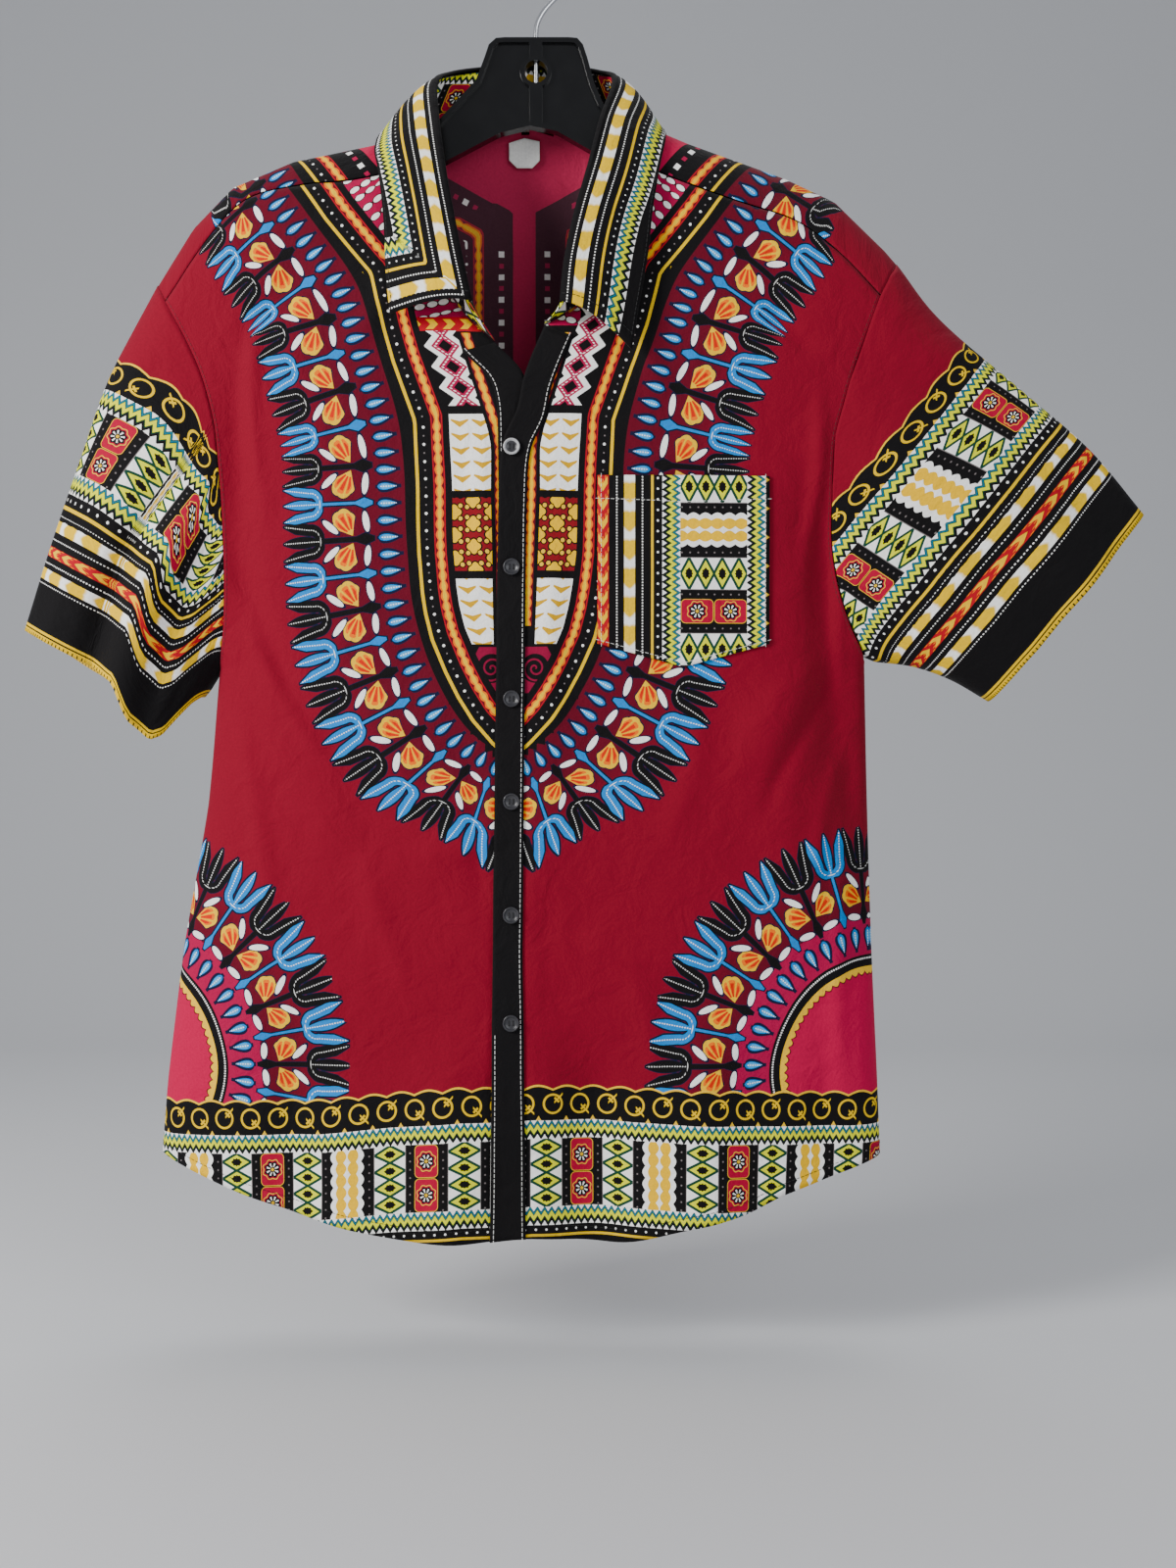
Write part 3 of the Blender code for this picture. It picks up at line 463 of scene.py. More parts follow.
class Paint:
    """Colours laid over each other in one material."""

    def __init__(self, name, ground, coordinates):
        self.material = bpy.data.materials.new(name)
        self.material.use_nodes = True
        self.tree = self.material.node_tree
        self.colour = ground
        self.coordinates = {}
        for label in coordinates:
            node = self.tree.nodes.new("ShaderNodeAttribute")
            node.attribute_name = label
            split = self.tree.nodes.new("ShaderNodeSeparateXYZ")
            self.tree.links.new(node.outputs["Vector"], split.inputs[0])
            self.coordinates[label] = [Term(self.tree, output) for output in split.outputs]
            self.coordinates[label + " whole"] = node.outputs["Vector"]

    def lay(self, mask, colour, blend="MIX"):
        """The colour where the mask is 1. A colour may be a socket too."""
        node = self.tree.nodes.new("ShaderNodeMix")
        node.data_type = "RGBA"
        node.blend_type = blend
        for name, value in (("A_Color", self.colour), ("B_Color", colour)):
            socket = socket_of(node.inputs, name)
            if isinstance(value, tuple):
                socket.default_value = value
            else:
                self.tree.links.new(value, socket)
        factor = socket_of(node.inputs, "Factor_Float")
        if isinstance(mask, Term):
            self.tree.links.new(mask.socket, factor)
        else:
            factor.default_value = mask
        self.colour = socket_of(node.outputs, "Result_Color")

    def cloth(self, faded=0.0, pale=WHITE, rough=0.82):
        """Finishes the material as woven cotton, with slubs and small wrinkles."""
        if faded:
            self.lay(faded, pale)
        links, nodes = self.tree.links, self.tree.nodes
        flat = self.coordinates["flat whole"]
        slubs = nodes.new("ShaderNodeTexNoise")
        slubs.inputs["Scale"].default_value = 0.55
        slubs.inputs["Detail"].default_value = 3
        links.new(flat, slubs.inputs["Vector"])
        level = Term(self.tree, slubs.outputs["Fac"]) * 0.3 + 0.85
        self.lay(1, level.socket, "MULTIPLY")
        wrinkles = nodes.new("ShaderNodeTexNoise")
        wrinkles.inputs["Scale"].default_value = 0.045
        wrinkles.inputs["Detail"].default_value = 4
        wrinkles.inputs["Roughness"].default_value = 0.55
        wrinkles.inputs["Distortion"].default_value = 0.6
        links.new(flat, wrinkles.inputs["Vector"])
        threads = Term(self.tree, slubs.outputs["Fac"]) * 0.12
        bump = nodes.new("ShaderNodeBump")
        bump.inputs["Strength"].default_value = 0.75
        bump.inputs["Distance"].default_value = 0.003
        links.new((Term(self.tree, wrinkles.outputs["Fac"]) + threads).socket, bump.inputs["Height"])
        surface = nodes["Principled BSDF"]
        links.new(self.colour, surface.inputs["Base Color"])
        links.new(bump.outputs["Normal"], surface.inputs["Normal"])
        surface.inputs["Roughness"].default_value = rough
        surface.inputs["Sheen Weight"].default_value = 0.03
        surface.inputs["Specular IOR Level"].default_value = 0.16
        return self.material


# Motifs of the traditional neck, sleeve and hem print, each a formula in millimetres along
# and across its band
DROP_SPACING = 11.6
TULIP_SPACING = 25.0
CURL_SPACING = 19.6
CURLS_FOOT = 23.3
PANEL_PERIOD = 111.1
PANEL_HEIGHT = 45.8


def paint_rays(paint, kind):
    """Drops, flowers and three-pronged tulips standing out from a line. far, out and near are
    the distance along the line at the tulips, out from it, and along it at the drops."""
    far, out, near = paint.coordinates["ray"]
    lay = paint.lay
    lay(((82 - out) / 26).low(1).high(0), WINE)
    lay((out < 34 + 2.2 * abs((near * (math.pi / DROP_SPACING)).sin())) * kind, MAGENTA)
    aside = near.fold(DROP_SPACING / 2)
    share = ((out - 13.2) / 14.6).high(0).low(1)
    half = 7.6 * share * (1 - share).root()
    lay((aside < half + 1.3) * between(out, 11.2, 29.2), NAVY)
    lay((aside < half - 0.5) * (share > 0.02), BLUE)
    lay((aside < half - 1.1) * between(share, 0.08, 0.8), SKY)
    lay((aside < 0.4) * between(share, 0.1, 0.85) * (out.fold(0.9) < 0.5), WHITE)
    stem = far.fold(TULIP_SPACING / 2)
    black_stem = far.fold(TULIP_SPACING)
    blue = black_stem > TULIP_SPACING / 2
    # flowers
    fan_out, fan_up = out - 45.5, black_stem - 2.6
    along = 0.5 * fan_out + 0.866 * fan_up
    turn = (0.866 * fan_out - 0.5 * fan_up).angle(along)
    reach = length(fan_out, fan_up)
    rim = 19.5 * (turn * 1.35).cos() + 1.1 * abs((turn * 7).sin())
    fan = abs(turn) < 0.66
    lay((reach < rim + 0.9) * (abs(turn) < 0.74), NAVY)
    lay((reach < rim) * fan, YELLOW)
    petal = abs((turn * 8.2).cos())
    lay((reach < rim - 4.2 + 2 * petal) * (reach > 4.5) * (petal > 0.35) * fan, ORANGE)
    lay((reach < rim - 6.6 + 2 * petal) * (reach > 4.5) * (petal > 0.74) * fan, FLAME)
    # white leaves
    inner = length((out - 36.2 - 0.12 * (black_stem - 13)) / 2.3, (black_stem - 12) / 7.2)
    slant_out, slant_up = out - 61.2, black_stem - 9.2
    outer = length(
        (0.76 * slant_out + 0.65 * slant_up) / 7.0,
        (0.65 * slant_out - 0.76 * slant_up) / 2.2,
    )
    leaves = inner.low(outer)
    lay(leaves < 1.28, NAVY)
    lay(leaves < 1.0, WHITE)
    # tulips, alternately black and blue
    above = out - 66.5
    splayed = stem - 0.15 * (above - 10).high(0)
    ring = length((above - 9).low(0) * 1.12, splayed)
    taper = ((31.5 - above) / 10).low(1).high(0)
    side = abs(ring - 7.9) - 3.2 * taper
    middle = stem - 3.2 * (1 - ((above - 16) * (above - 16)) / 240)
    fork = side.low(middle.high(abs(above - 16) - 15.5)).high(0 - above).high(above - 31)
    bulb = (2.6 - 0.42 * abs(out - 37)).high(0)
    shaft = (stem - 1.1 - bulb).high(abs(out - 49.5) - 18.5)
    tulip = fork.low(shaft)
    lay(tulip < 1.0, NAVY)
    lay(tulip < 0.5, BLACK)
    lay((tulip < -0.1) * blue, BLUE)
    dots = (fork < -0.3) * ((side + 3.2 * taper) < 0.36).high((stem < 0.36) * (above > 3))
    lay(dots * (above.fold(0.9) < 0.5) * (0.7 + 0.3 * blue), WHITE)


def paint_bands(paint, t, s):
    """The neck line's bands, inwards from the gold line: dots, then the orange ribbon."""
    lay = paint.lay
    lay(t > -40, BLACK)
    lay(abs(t) < 1.15, GOLD)
    white = length(s.fold(5.9), t - 5.7)
    grey = length(5.9 - s.fold(5.9), t - 5.7)
    lay(white < 1.0, WHITE)
    lay(grey < 0.6, GREY)
    lay(abs(t - 15) < 4.1, SCARLET)
    bites = abs((s * (math.pi / 7.4)).sin())
    lay(abs(t - 15) < 3.2, WINE)
    lay(abs(t - 15) < 1.5 + 1.4 * bites, ORANGE)
    lay(abs(t - 15) < 0.7 + 0.8 * bites, YELLOW)


def paint_curls(paint, u, v):
    """The scalloped black band with a row of curls, turned up and down by turns."""
    lay = paint.lay
    scallop = 2.6 * (1 - abs((u * (math.pi / CURL_SPACING)).sin()))
    lay(v > scallop - 0.9, CREAM)
    lay(v > scallop + 0.5, BLACK)
    across = u.wrap(-CURL_SPACING / 2, CURL_SPACING / 2)
    turned = 1 - 2 * ((u / (2 * CURL_SPACING) + 0.25).fract() > 0.5)
    down = (v - 12.0) * turned
    ring = abs(length(across, down) - 6.3)
    tail = abs(across - down).high(abs(across - 3.9) - 2.2)
    cross = (abs(across + down - 5.4) * 0.7).high(abs(across - down) - 2.4)
    lay(ring.low(tail).low(cross) < 0.75, GOLD)
    tooth = (u + CURL_SPACING / 2).fold(CURL_SPACING / 2) - (v - 20.2) * 0.6
    lay((tooth < 0) * between(v, 20.2, CURLS_FOOT), CREAM)


def paint_zigzag(paint, u, v):
    """White points, then teal, lime and black zigzags round v = 0, 12.4 across."""
    lay = paint.lay
    wave = v - 1.9 * (u.fold(2.43) / 1.215 - 1)
    inside = abs(v) < 6.2
    lay(inside, WHITE)
    lay((abs(wave) < 4.9) * inside, GREEN)
    lay(between(wave, -4.2, -2.7) * inside, TEAL)
    lay(between(wave, -2.0, 1.5) * inside, LIME)
    lay(between(wave, 2.6, 4.9) * inside, BLACK)


def paint_panels(paint, u, v):
    """Flowers, diamonds and clouds in turn, between black dotted strips."""
    lay = paint.lay
    q = (u / PANEL_PERIOD).fract() * PANEL_PERIOD
    inside = between(v, 0, PANEL_HEIGHT)
    lay(inside, BLACK)
    dotted = abs(q - 20.1).low(abs(q - 48.4)).low(abs(q - 79.3)).low(abs(q - 107.9))
    lay((length(dotted, v.fold(2.8)) < 0.6) * inside, GREY)
    # diamonds
    side = q - 34.4 - 59.3 * (q > 64)
    off = abs(side)
    lay((off < 11.2) * inside, GREY)
    lay((off < 10.7) * inside, WHITE)
    up = 5.7 - v.fold(5.7)
    rhomb = off / 10.6 + up / 5.7
    lay((abs(rhomb - 1.02) < 0.18) * (off < 10.7) * inside, GREEN)
    lay((rhomb < 0.85) * inside, LIME)
    star = length(side, up * 1.5) * (1 + 0.3 * abs((4 * up.angle(side)).sin()))
    lay((star < 4.3) * inside, BLACK)
    # flowers on rose
    petal_u = q - 8.35
    petal_v = (v - 11.45).wrap(-11.45, 11.45)
    rho = length(petal_u, petal_v)
    spin = petal_v.angle(petal_u)
    tile = length((abs(petal_u) - 5.0).high(0), (abs(petal_v) - 7.9).high(0))
    lay((tile < 3.3) * inside, CREAM)
    lay((tile < 2.9) * inside, ROSE)
    bloom = rho + 0.5 * (8 * spin).cos()
    lay((bloom < 6.9) * inside, CREAM)
    lay((bloom < 6.3) * inside, ROSE)
    lay((bloom < 5.3) * inside, BLACK)
    lay((abs((4 * spin).sin()) > 0.82) * between(rho, 1.8, 4.4) * inside, WHITE)
    lay((rho < 1.1) * inside, YELLOW)
    # clouds
    cloud = abs(q - 63.8)
    puffs = abs((v * (math.pi / 8.2)).sin())
    lay((cloud < 9.8 + 2.0 * puffs) * inside, WHITE)
    lay(between(cloud, 2.6 - 2.2 * puffs, 6.4 + 1.6 * puffs) * inside, YELLOW)


def paint_ikat(paint, u, v):
    """A white stripe with soft yellow blots, 7.5 across round v = 0."""
    blot = length(v / 7.0, (u + 0.5 * abs(v)).fold(9.75) / 8.0)
    paint.lay(abs(v) < 3.75, WHITE)
    paint.lay((abs(v) < 3.75) * ((1.0 - blot) * 4).low(1).high(0), GOLD)


def paint_arrows(paint, u, v):
    """A red stripe with yellow arrow blooms, 8 across round v = 0."""
    inside = abs(v) < 4
    paint.lay(inside, SCARLET)
    along = ((u + 1.6 * abs(v)) / 13.0).fract()
    streaks = (v.fold(0.9) < 0.4) * between(along, 0.28, 0.5)
    paint.lay(inside * streaks, ORANGE)
    paint.lay((abs(v) < 3.2) * between(along, 0.5, 0.9), YELLOW)


def paint_border(paint, u, v):
    """The border from its scalloped top edge down, for the hem, the sleeves and the pocket."""
    lay = paint.lay
    lay(v > CURLS_FOOT, BLACK)
    paint_panels(paint, u, v - 35.7)
    paint_zigzag(paint, u, v - 29.5)
    paint_zigzag(paint, u, v - 87.75)
    lay(length(u.fold(3.6), v - 97) < 0.8, WHITE)
    lay(abs(v - 100.8) < 0.9, GOLD)
    for stitch in (107.5, 125, 143.5, 157.5):
        lay((abs(v - stitch) < 0.45) * (u.fold(1.0) < 0.5), WHITE)


def paint_stripes(paint, u, v):
    """The stripes that follow the border on the sleeves and the pocket."""
    paint_ikat(paint, u, v - 116.3)
    paint_arrows(paint, u, v - 134.5)
    paint_ikat(paint, u, v - 150.5)
    paint.lay(v > 195, GOLD)
    paint.lay(abs(v - 198) < 0.7, BLACK)
    paint.lay((v > 201) * (u.fold(1.4) < 0.35), BLACK)


def rays_material(name, faded=0.0, pale=WHITE):
    paint = Paint(name, CRIMSON, ["ray", "hem", "kind", "flat"])
    far, out, near = paint.coordinates["ray"]
    u, v, _ = paint.coordinates["hem"]
    kind = paint.coordinates["kind"][0]
    lay = paint.lay
    paint_rays(paint, kind)
    teeth = abs((near * (math.pi / 7.7)).sin())
    lay(out < 8.7, BLACK)
    lay((abs(out - 6.2) < 0.6) * (near.fold(1.0) < 0.6) * kind, WHITE)
    lay((out < 0.6) * kind, CREAM)
    lay((out < -2.4 - 2.4 * teeth) * kind, WINE)
    lay((out < -3.4 - 2.4 * teeth) * kind, PINK)
    lay((abs(out) < 1.15) * (1 - kind), GOLD)
    paint_curls(paint, u, v)
    lay(v > CURLS_FOOT, BLACK)
    return paint.cloth(faded, pale)


def front_bands_material(name, faded=0.0, pale=WHITE):
    paint = Paint(name, BLACK, ["band", "flat"])
    s, t, inner = paint.coordinates["band"]
    x, z, _ = paint.coordinates["flat"]
    lay = paint.lay
    paint_bands(paint, t, s)
    p = t - 23.8
    panel = (p > 0) * (inner > 6.3)
    # leaves on the shoulder
    leaf = length((s.fold(9) - 4.5) / 2.0, (p.fold(8.5) - 4) / 3.6)
    zone = (p > 0) * (z > -272)
    lay(zone, MAGENTA)
    lay(zone * (leaf < 1.25), BLACK)
    lay(zone * (leaf < 1), WHITE)
    zone = (p > 0) * between(z, -276, -266) * (x < -15)
    lay(zone, SCARLET)
    lay(zone * (((x + abs(z + 271)) / 12).fract() < 0.45) * (abs(z + 271) < 3.4), YELLOW)
    # diamonds
    centre = abs(p - 14)
    rhomb = centre / 7.6 + z.fold(7.15) / 7.15
    zone = panel * between(z, -327.1, -275.6 + 30 * (x > -15))
    lay(zone, BLACK)
    lay(zone * (rhomb < 1.9), WHITE)
    lay(zone * (rhomb < 1.25), MAGENTA)
    lay(zone * (abs(rhomb - 0.93) < 0.08) * (z.fold(0.9) < 0.5), WHITE)
    lay(zone * (rhomb < 0.6), BLACK)
    # chevrons
    zone = panel * between(z, -385.3, -332.8).high(between(z, -490.3, -445.5))
    lay(zone, WHITE)
    column = (p - 7.35).fold(7.35)
    chevron = ((z - 0.75 * column) / 9.5).fract()
    lay(zone * (column < 6.2) * (chevron < 0.44 - 0.05 * column), MUSTARD)
    # four-lobed tiles
    zone = panel * between(z, -440.2, -390)
    lay(zone, BRICK)
    across, up = (p - 14.7).fold(13.5), (z - 3).fold(7.9)
    lobes = []
    for a, b in ((across, up), (13.5 - across, 7.9 - up)):
        lobes.append(length(a / 5.2, b / 3.2).low(length(a / 3.2, b / 5.2)))
        corner = length(a - 4.4, b - 4.4)
        lay(zone * (corner < 2.3), BLACK)
        lay(zone * (corner < 1.5), CREAM)
    lobe = lobes[0].low(lobes[1])
    lay(zone * (lobe < 1.2), BLACK)
    lay(zone * (lobe < 1.0), YELLOW)
    # scrolls at the point
    zone = (p > 0) * (z < -492.3)
    lay(zone, BLACK)
    scroll_x, scroll_z = abs(x + 14.5) - 15.5, z + 507
    rho = length(scroll_x, scroll_z)
    turn = scroll_z.angle(scroll_x) / (2 * math.pi)
    lay(zone * (rho < 9) * ((rho / 4.4 - turn).fract() < 0.3), PLUM)
    lay(zone * (rho > 10) * (abs(scroll_x) + abs(scroll_z) * 0.5 < 16) * (z > -524), PLUM)
    # the ribbon beside the placket
    ribbon = abs(inner)
    zone = between(z, -478, -277)
    waves = abs((z * (math.pi / 7.4)).sin())
    lay((ribbon < 3.6) * zone, WINE)
    lay((ribbon < 1.7 + 1.3 * waves) * zone, ORANGE)
    lay((ribbon < 0.8 + 0.8 * waves) * zone, YELLOW)
    return paint.cloth(faded, pale)


def border_material(name, ground=CRIMSON, stripes=False, faded=0.0, pale=WHITE):
    paint = Paint(name, ground, ["hem", "flat"])
    u, v, _ = paint.coordinates["hem"]
    paint_curls(paint, u, v)
    paint_border(paint, u, v)
    if stripes:
        paint_stripes(paint, u, v)
    return paint.cloth(faded, pale)


WRONG_PALE = ink(214, 150, 160)
RAYS = rays_material("printed cotton, rays")
FRONT_BANDS = front_bands_material("printed cotton, neck bands")
BORDER = border_material("printed cotton, border")
WRONG_FRONT = rays_material("printed cotton, wrong side", 0.28, WRONG_PALE)

# Where the print lies on the cloth, with the half-width of its lines at each height
FRONT_CENTRE = table("z x", [(-569, -16.3), (-487, -13.8), (-385, -12.9), (-233, -12.2), (-161, -10.2)])
FRONT_LINE = table(
    "x z",
    [
        (156.5, -161.2), (134, -193.3), (101, -232.8), (92.7, -271.6), (86, -296.3), (78.6, -317.1),
        (71.2, -337.1), (70.2, -358.5), (69.2, -385.3), (68.6, -412), (67.9, -429.4), (64.6, -454.9),
        (62.2, -468.9), (57.5, -487), (47.2, -509.7), (38.1, -526.5), (27.4, -542.5), (12.7, -558.6),
        (0, -569.3),
    ],
)
FRONT_RIBBON = table(
    "z x",
    [(-500, 8), (-448, 9.7), (-385, 11.7), (-355, 11.7), (-343, 14), (-305, 26.7), (-268, 38)],
)
BAND_EDGE = -4.9
BORDER_EDGE = 21
FAR_AWAY = 1e9
TIED = 1e-9
GUIDE_POINTS = 320
GUIDE_SMOOTHING = 330
POINT_SHORTER = 0.24
POINT_AT = 40 * MM
POINT_WIDE = 32 * MM
RAY_NEAR = 20 * MM
RAY_FAR = 55 * MM
CIRCLE = {
    "left": (-288.5 * MM, -778 * MM),
    "right": (240.6 * MM, -778 * MM),
    "radius": 65 * MM,
    "reach": 166 * MM,
    "tulip_turn": math.radians(10.8),
    "drop_turn": math.radians(8.05),
}
BORDER_TOP = table(
    "x z",
    [(-262, -805), (-151, -802.4), (-101, -796.6), (-51, -792.4), (-30, -792.8), (-1, -790.7), (230, -798.7)],
)
BORDER_START = {"left": -82.1 * MM, "right": -85.1 * MM, "back": -60 * MM}


def beyond(points, reach=0.06):
    """The line with its first stretch run on, so that it passes over the shoulder."""
    first, second = np.array([points["x"][0], points["z"][0]]), np.array([points["x"][1], points["z"][1]])
    on = first + (first - second) / np.linalg.norm(first - second) * reach
    return {"x": np.concatenate([[on[0]], points["x"]]), "z": np.concatenate([[on[1]], points["z"]])}


def from_line(x, z, corners):
    """The nearest point's place along the corners, and the distance with its corners kept sharp."""
    best = np.full(np.shape(x), FAR_AWAY)
    sharp = np.zeros(np.shape(x))
    place = np.zeros(np.shape(x))
    for i in range(len(corners) - 1):
        a, run = corners[i], corners[i + 1] - corners[i]
        share = np.clip(((x - a[0]) * run[0] + (z - a[1]) * run[1]) / (run @ run), 0, 1)
        away = np.hypot(x - a[0] - share * run[0], z - a[1] - share * run[1])
        level = np.abs((x - a[0]) * run[1] - (z - a[1]) * run[0]) / np.hypot(*run)
        tie = np.abs(away - best) < TIED
        nearer = (away < best) & ~tie
        sharp = np.where(tie, np.maximum(sharp, level), np.where(nearer, level, sharp))
        best = np.minimum(best, away)
        place = np.where(nearer, i + share, place)
    return place, sharp


def beside_guide(x, z, guide, run):
    """The place along a curved guide whose own upright passes through each point."""
    best = np.full(np.shape(x), FAR_AWAY)
    near = np.zeros(np.shape(x), int)
    for i, corner in enumerate(guide):
        away = np.hypot(x - corner[0], z - corner[1])
        near = np.where(away < best, i, near)
        best = np.minimum(best, away)

    def ahead(i):
        return (x - guide[i, 0]) * run[i, 0] + (z - guide[i, 1]) * run[i, 1]

    low = np.clip(np.where(ahead(near) > 0, near, near - 1), 0, len(guide) - 2)
    before, after = ahead(low), ahead(low + 1)
    share = np.clip(before / np.maximum(before - after, TIED), 0, 1)
    foot = guide[low] * (1 - share[..., None]) + guide[low + 1] * share[..., None]
    return low + share, np.hypot(x - foot[..., 0], z - foot[..., 1])


def neck_print(x, z, centre, points):
    """Places along and out from the neck's gold line, sharp for the bands and soft for the rays."""
    points = beyond(points)
    corners = np.column_stack([points["x"], points["z"]])
    aside = np.abs(x - centre)
    outside = aside > np.interp(z, points["z"][::-1], points["x"][::-1])
    outside = outside | (z < points["z"][-1])
    steps = np.concatenate([[0], np.cumsum(np.linalg.norm(np.diff(corners, axis=0), axis=1))])
    place, away = from_line(aside, z, corners)
    along = steps[-1] - np.interp(place, np.arange(len(corners)), steps)
    depth = np.where(outside, -away, away)
    # the soft guide, level where it crosses the centre
    even = np.linspace(0, steps[-1], GUIDE_POINTS)
    guide = np.column_stack([np.interp(even, steps, corners[:, i]) for i in (0, 1)])
    full = np.vstack([guide, guide[-2::-1] * [-1, 1]])
    for _ in range(GUIDE_SMOOTHING):
        full[1:-1] = (full[:-2] + 2 * full[1:-1] + full[2:]) / 4
    guide = full[: len(guide)]
    run = np.gradient(full, axis=0)[: len(guide)]
    normal = np.column_stack([-run[:, 1], run[:, 0]]) / np.linalg.norm(run, axis=1)[:, None]
    place, away = beside_guide(aside, z, guide, run / np.linalg.norm(run, axis=1)[:, None])
    measured = []
    for reach in (RAY_FAR, RAY_NEAR):
        offset = guide + normal * reach
        steps = np.concatenate([[0], np.cumsum(np.linalg.norm(np.diff(offset, axis=0), axis=1))])
        measured.append(steps[-1] - np.interp(place, np.arange(len(guide)), steps))
    out = np.where(outside, away, -away)
    out = out * (1 + POINT_SHORTER * np.exp(-(((measured[0] - POINT_AT) / POINT_WIDE) ** 2)))
    return along, depth, measured[0], out, measured[1]


def print_coords(x, z, centre, points, start):
    """Everything that the body's print is painted from, at flat places on a panel."""
    along, depth, far, out, near = neck_print(x, z, centre, points)
    kind = np.zeros(np.shape(x))
    for name in ("left", "right"):
        cx, cz = CIRCLE[name]
        radius = np.hypot(x - cx, z - cz)
        turn = np.arctan2(z - cz, np.abs(x - cx))
        here = radius < CIRCLE["reach"]
        kind = np.where(here, 1.0, kind)
        far = np.where(here, turn / CIRCLE["tulip_turn"] * TULIP_SPACING * MM, far)
        near = np.where(here, turn / CIRCLE["drop_turn"] * DROP_SPACING * MM, near)
        out = np.where(here, radius - CIRCLE["radius"], out)
    hem_v = np.interp(x, BORDER_TOP["x"], BORDER_TOP["z"]) - z
    zero = np.zeros(np.shape(x))
    inner = np.abs(x - centre) - np.interp(z, FRONT_RIBBON["z"], FRONT_RIBBON["x"])
    return {
        "ray": joined(far, out, near) / MM,
        "band": joined(along, depth, inner) / MM,
        "hem": joined((x - start) / MM, hem_v / MM, zero),
        "kind": joined(kind, zero, zero),
        "flat": joined(x, z, zero) / MM,
    }


def regions(coords):
    """Each face's material: 0 the rays, 1 the neck bands, 2 the border."""

    def middle(values):
        return (values[1:, 1:] + values[:-1, 1:] + values[1:, :-1] + values[:-1, :-1]) / 4

    band = middle(coords["band"][..., 1]) > BAND_EDGE
    border = middle(coords["hem"][..., 1]) > BORDER_EDGE
    return np.where(border, 2, np.where(band, 1, 0))


def flat_x(grid, anchor_column, anchor_x):
    """Distances across the cloth, measured along each row from one column."""
    steps = np.linalg.norm(np.diff(grid, axis=1), axis=-1)
    across = np.concatenate([np.zeros((len(grid), 1)), np.cumsum(steps, axis=1)], axis=1)
    sign = 1.0 if grid[0, -1, 0] > grid[0, 0, 0] else -1.0
    return anchor_x + sign * (across - across[:, anchor_column : anchor_column + 1])


def flat_z(grid, below_row):
    """Heights on the cloth, measured up each column from one row."""
    steps = np.linalg.norm(np.diff(grid[below_row:], axis=0), axis=-1)
    up = np.concatenate([np.zeros((1, grid.shape[1])), np.cumsum(steps, axis=0)], axis=0)
    heights = grid[..., 2].copy()
    heights[below_row:] = grid[below_row, :, 2] + up
    return heights


# Each front's grid runs from its front edge to its side, and from its hem up
FRONT_COLUMNS = 66
FRONT_ROWS = 168
FRONT_EASED = 0.7
FRONT_FLAT_TO = 0.86
LEFT_OUTER = edge(SIDE_LEFT, ARMHOLE_LEFT, SIDE_SPLIT)
RIGHT_OUTER = edge(SIDE_RIGHT, ARMHOLE_RIGHT, SIDE_SPLIT)
LEFT_INNER = edge(EDGE_LEFT, NECK_LEFT, EDGE_SPLIT)
RIGHT_INNER = edge(EDGE_RIGHT, NECK_RIGHT, EDGE_SPLIT)
LEFT_HEM = line(part_of(HEM, HEM["x"][0], EDGE_LEFT["x"][0]))
RIGHT_HEM = line(part_of(HEM, EDGE_RIGHT["x"][0], HEM["x"][-1]))


def lap_rise(z):
    """The right front lies over the left from the first button down."""
    return LAP * smooth((LAP_TOP - z) / LAP_RUN)


def front_place(side, u, v):
    """Points on a front's inner face: u from its front edge to its side, v from its hem up."""
    if side == "left":
        flat = coons(LEFT_HEM, line(SEAM_LEFT), LEFT_OUTER, LEFT_INNER, 1 - u, v)
        y = body_y(flat[..., 0], flat[..., 1], -1)
    else:
        flat = coons(RIGHT_HEM, line(SEAM_RIGHT), RIGHT_INNER, RIGHT_OUTER, u, v)
        width = np.linalg.norm(at(RIGHT_INNER, v) - at(RIGHT_OUTER, v), axis=-1)
        near = 1 - smooth((u * width - PLACKET_WIDTH - LAP_MARGIN) / LAP_RUN)
        y = body_y(flat[..., 0], flat[..., 1], -1) - lap_rise(flat[..., 1]) * near
    at_side = (u > 1 - TOUCHING) & (v <= SIDE_SPLIT)
    return joined(flat[..., 0], np.where(at_side, -SEAM / 2, y), flat[..., 1])


def front_grid(side):
    even = np.linspace(0, 1, FRONT_COLUMNS + 1)
    share = FRONT_EASED * np.sin(np.pi / 2 * even) + (1 - FRONT_EASED) * even
    return front_place(side, *np.meshgrid(share, np.linspace(0, 1, FRONT_ROWS + 1)))


def behind(grid):
    return grid + [0, 1, 0]


def front_coords(side, grid):
    edge_x = grid[:, :1, 0]
    x = flat_x(grid, 0, edge_x)
    z = flat_z(grid, int(len(grid) * FRONT_FLAT_TO))
    centre = np.interp(z, FRONT_CENTRE["z"], FRONT_CENTRE["x"])
    return print_coords(x, z, centre, FRONT_LINE, BORDER_START[side])


fronts = {}
for side in ("left", "right"):
    grid = front_grid(side)
    coords = front_coords(side, grid)
    finishes = [RAYS, FRONT_BANDS, BORDER, WRONG_FRONT]
    piece = sheet_mesh(f"visual_front_{side}", grid, behind(grid), coords, finishes, regions(coords))
    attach(piece, "root")
    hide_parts(f"front_{side}")
    fronts[side] = grid

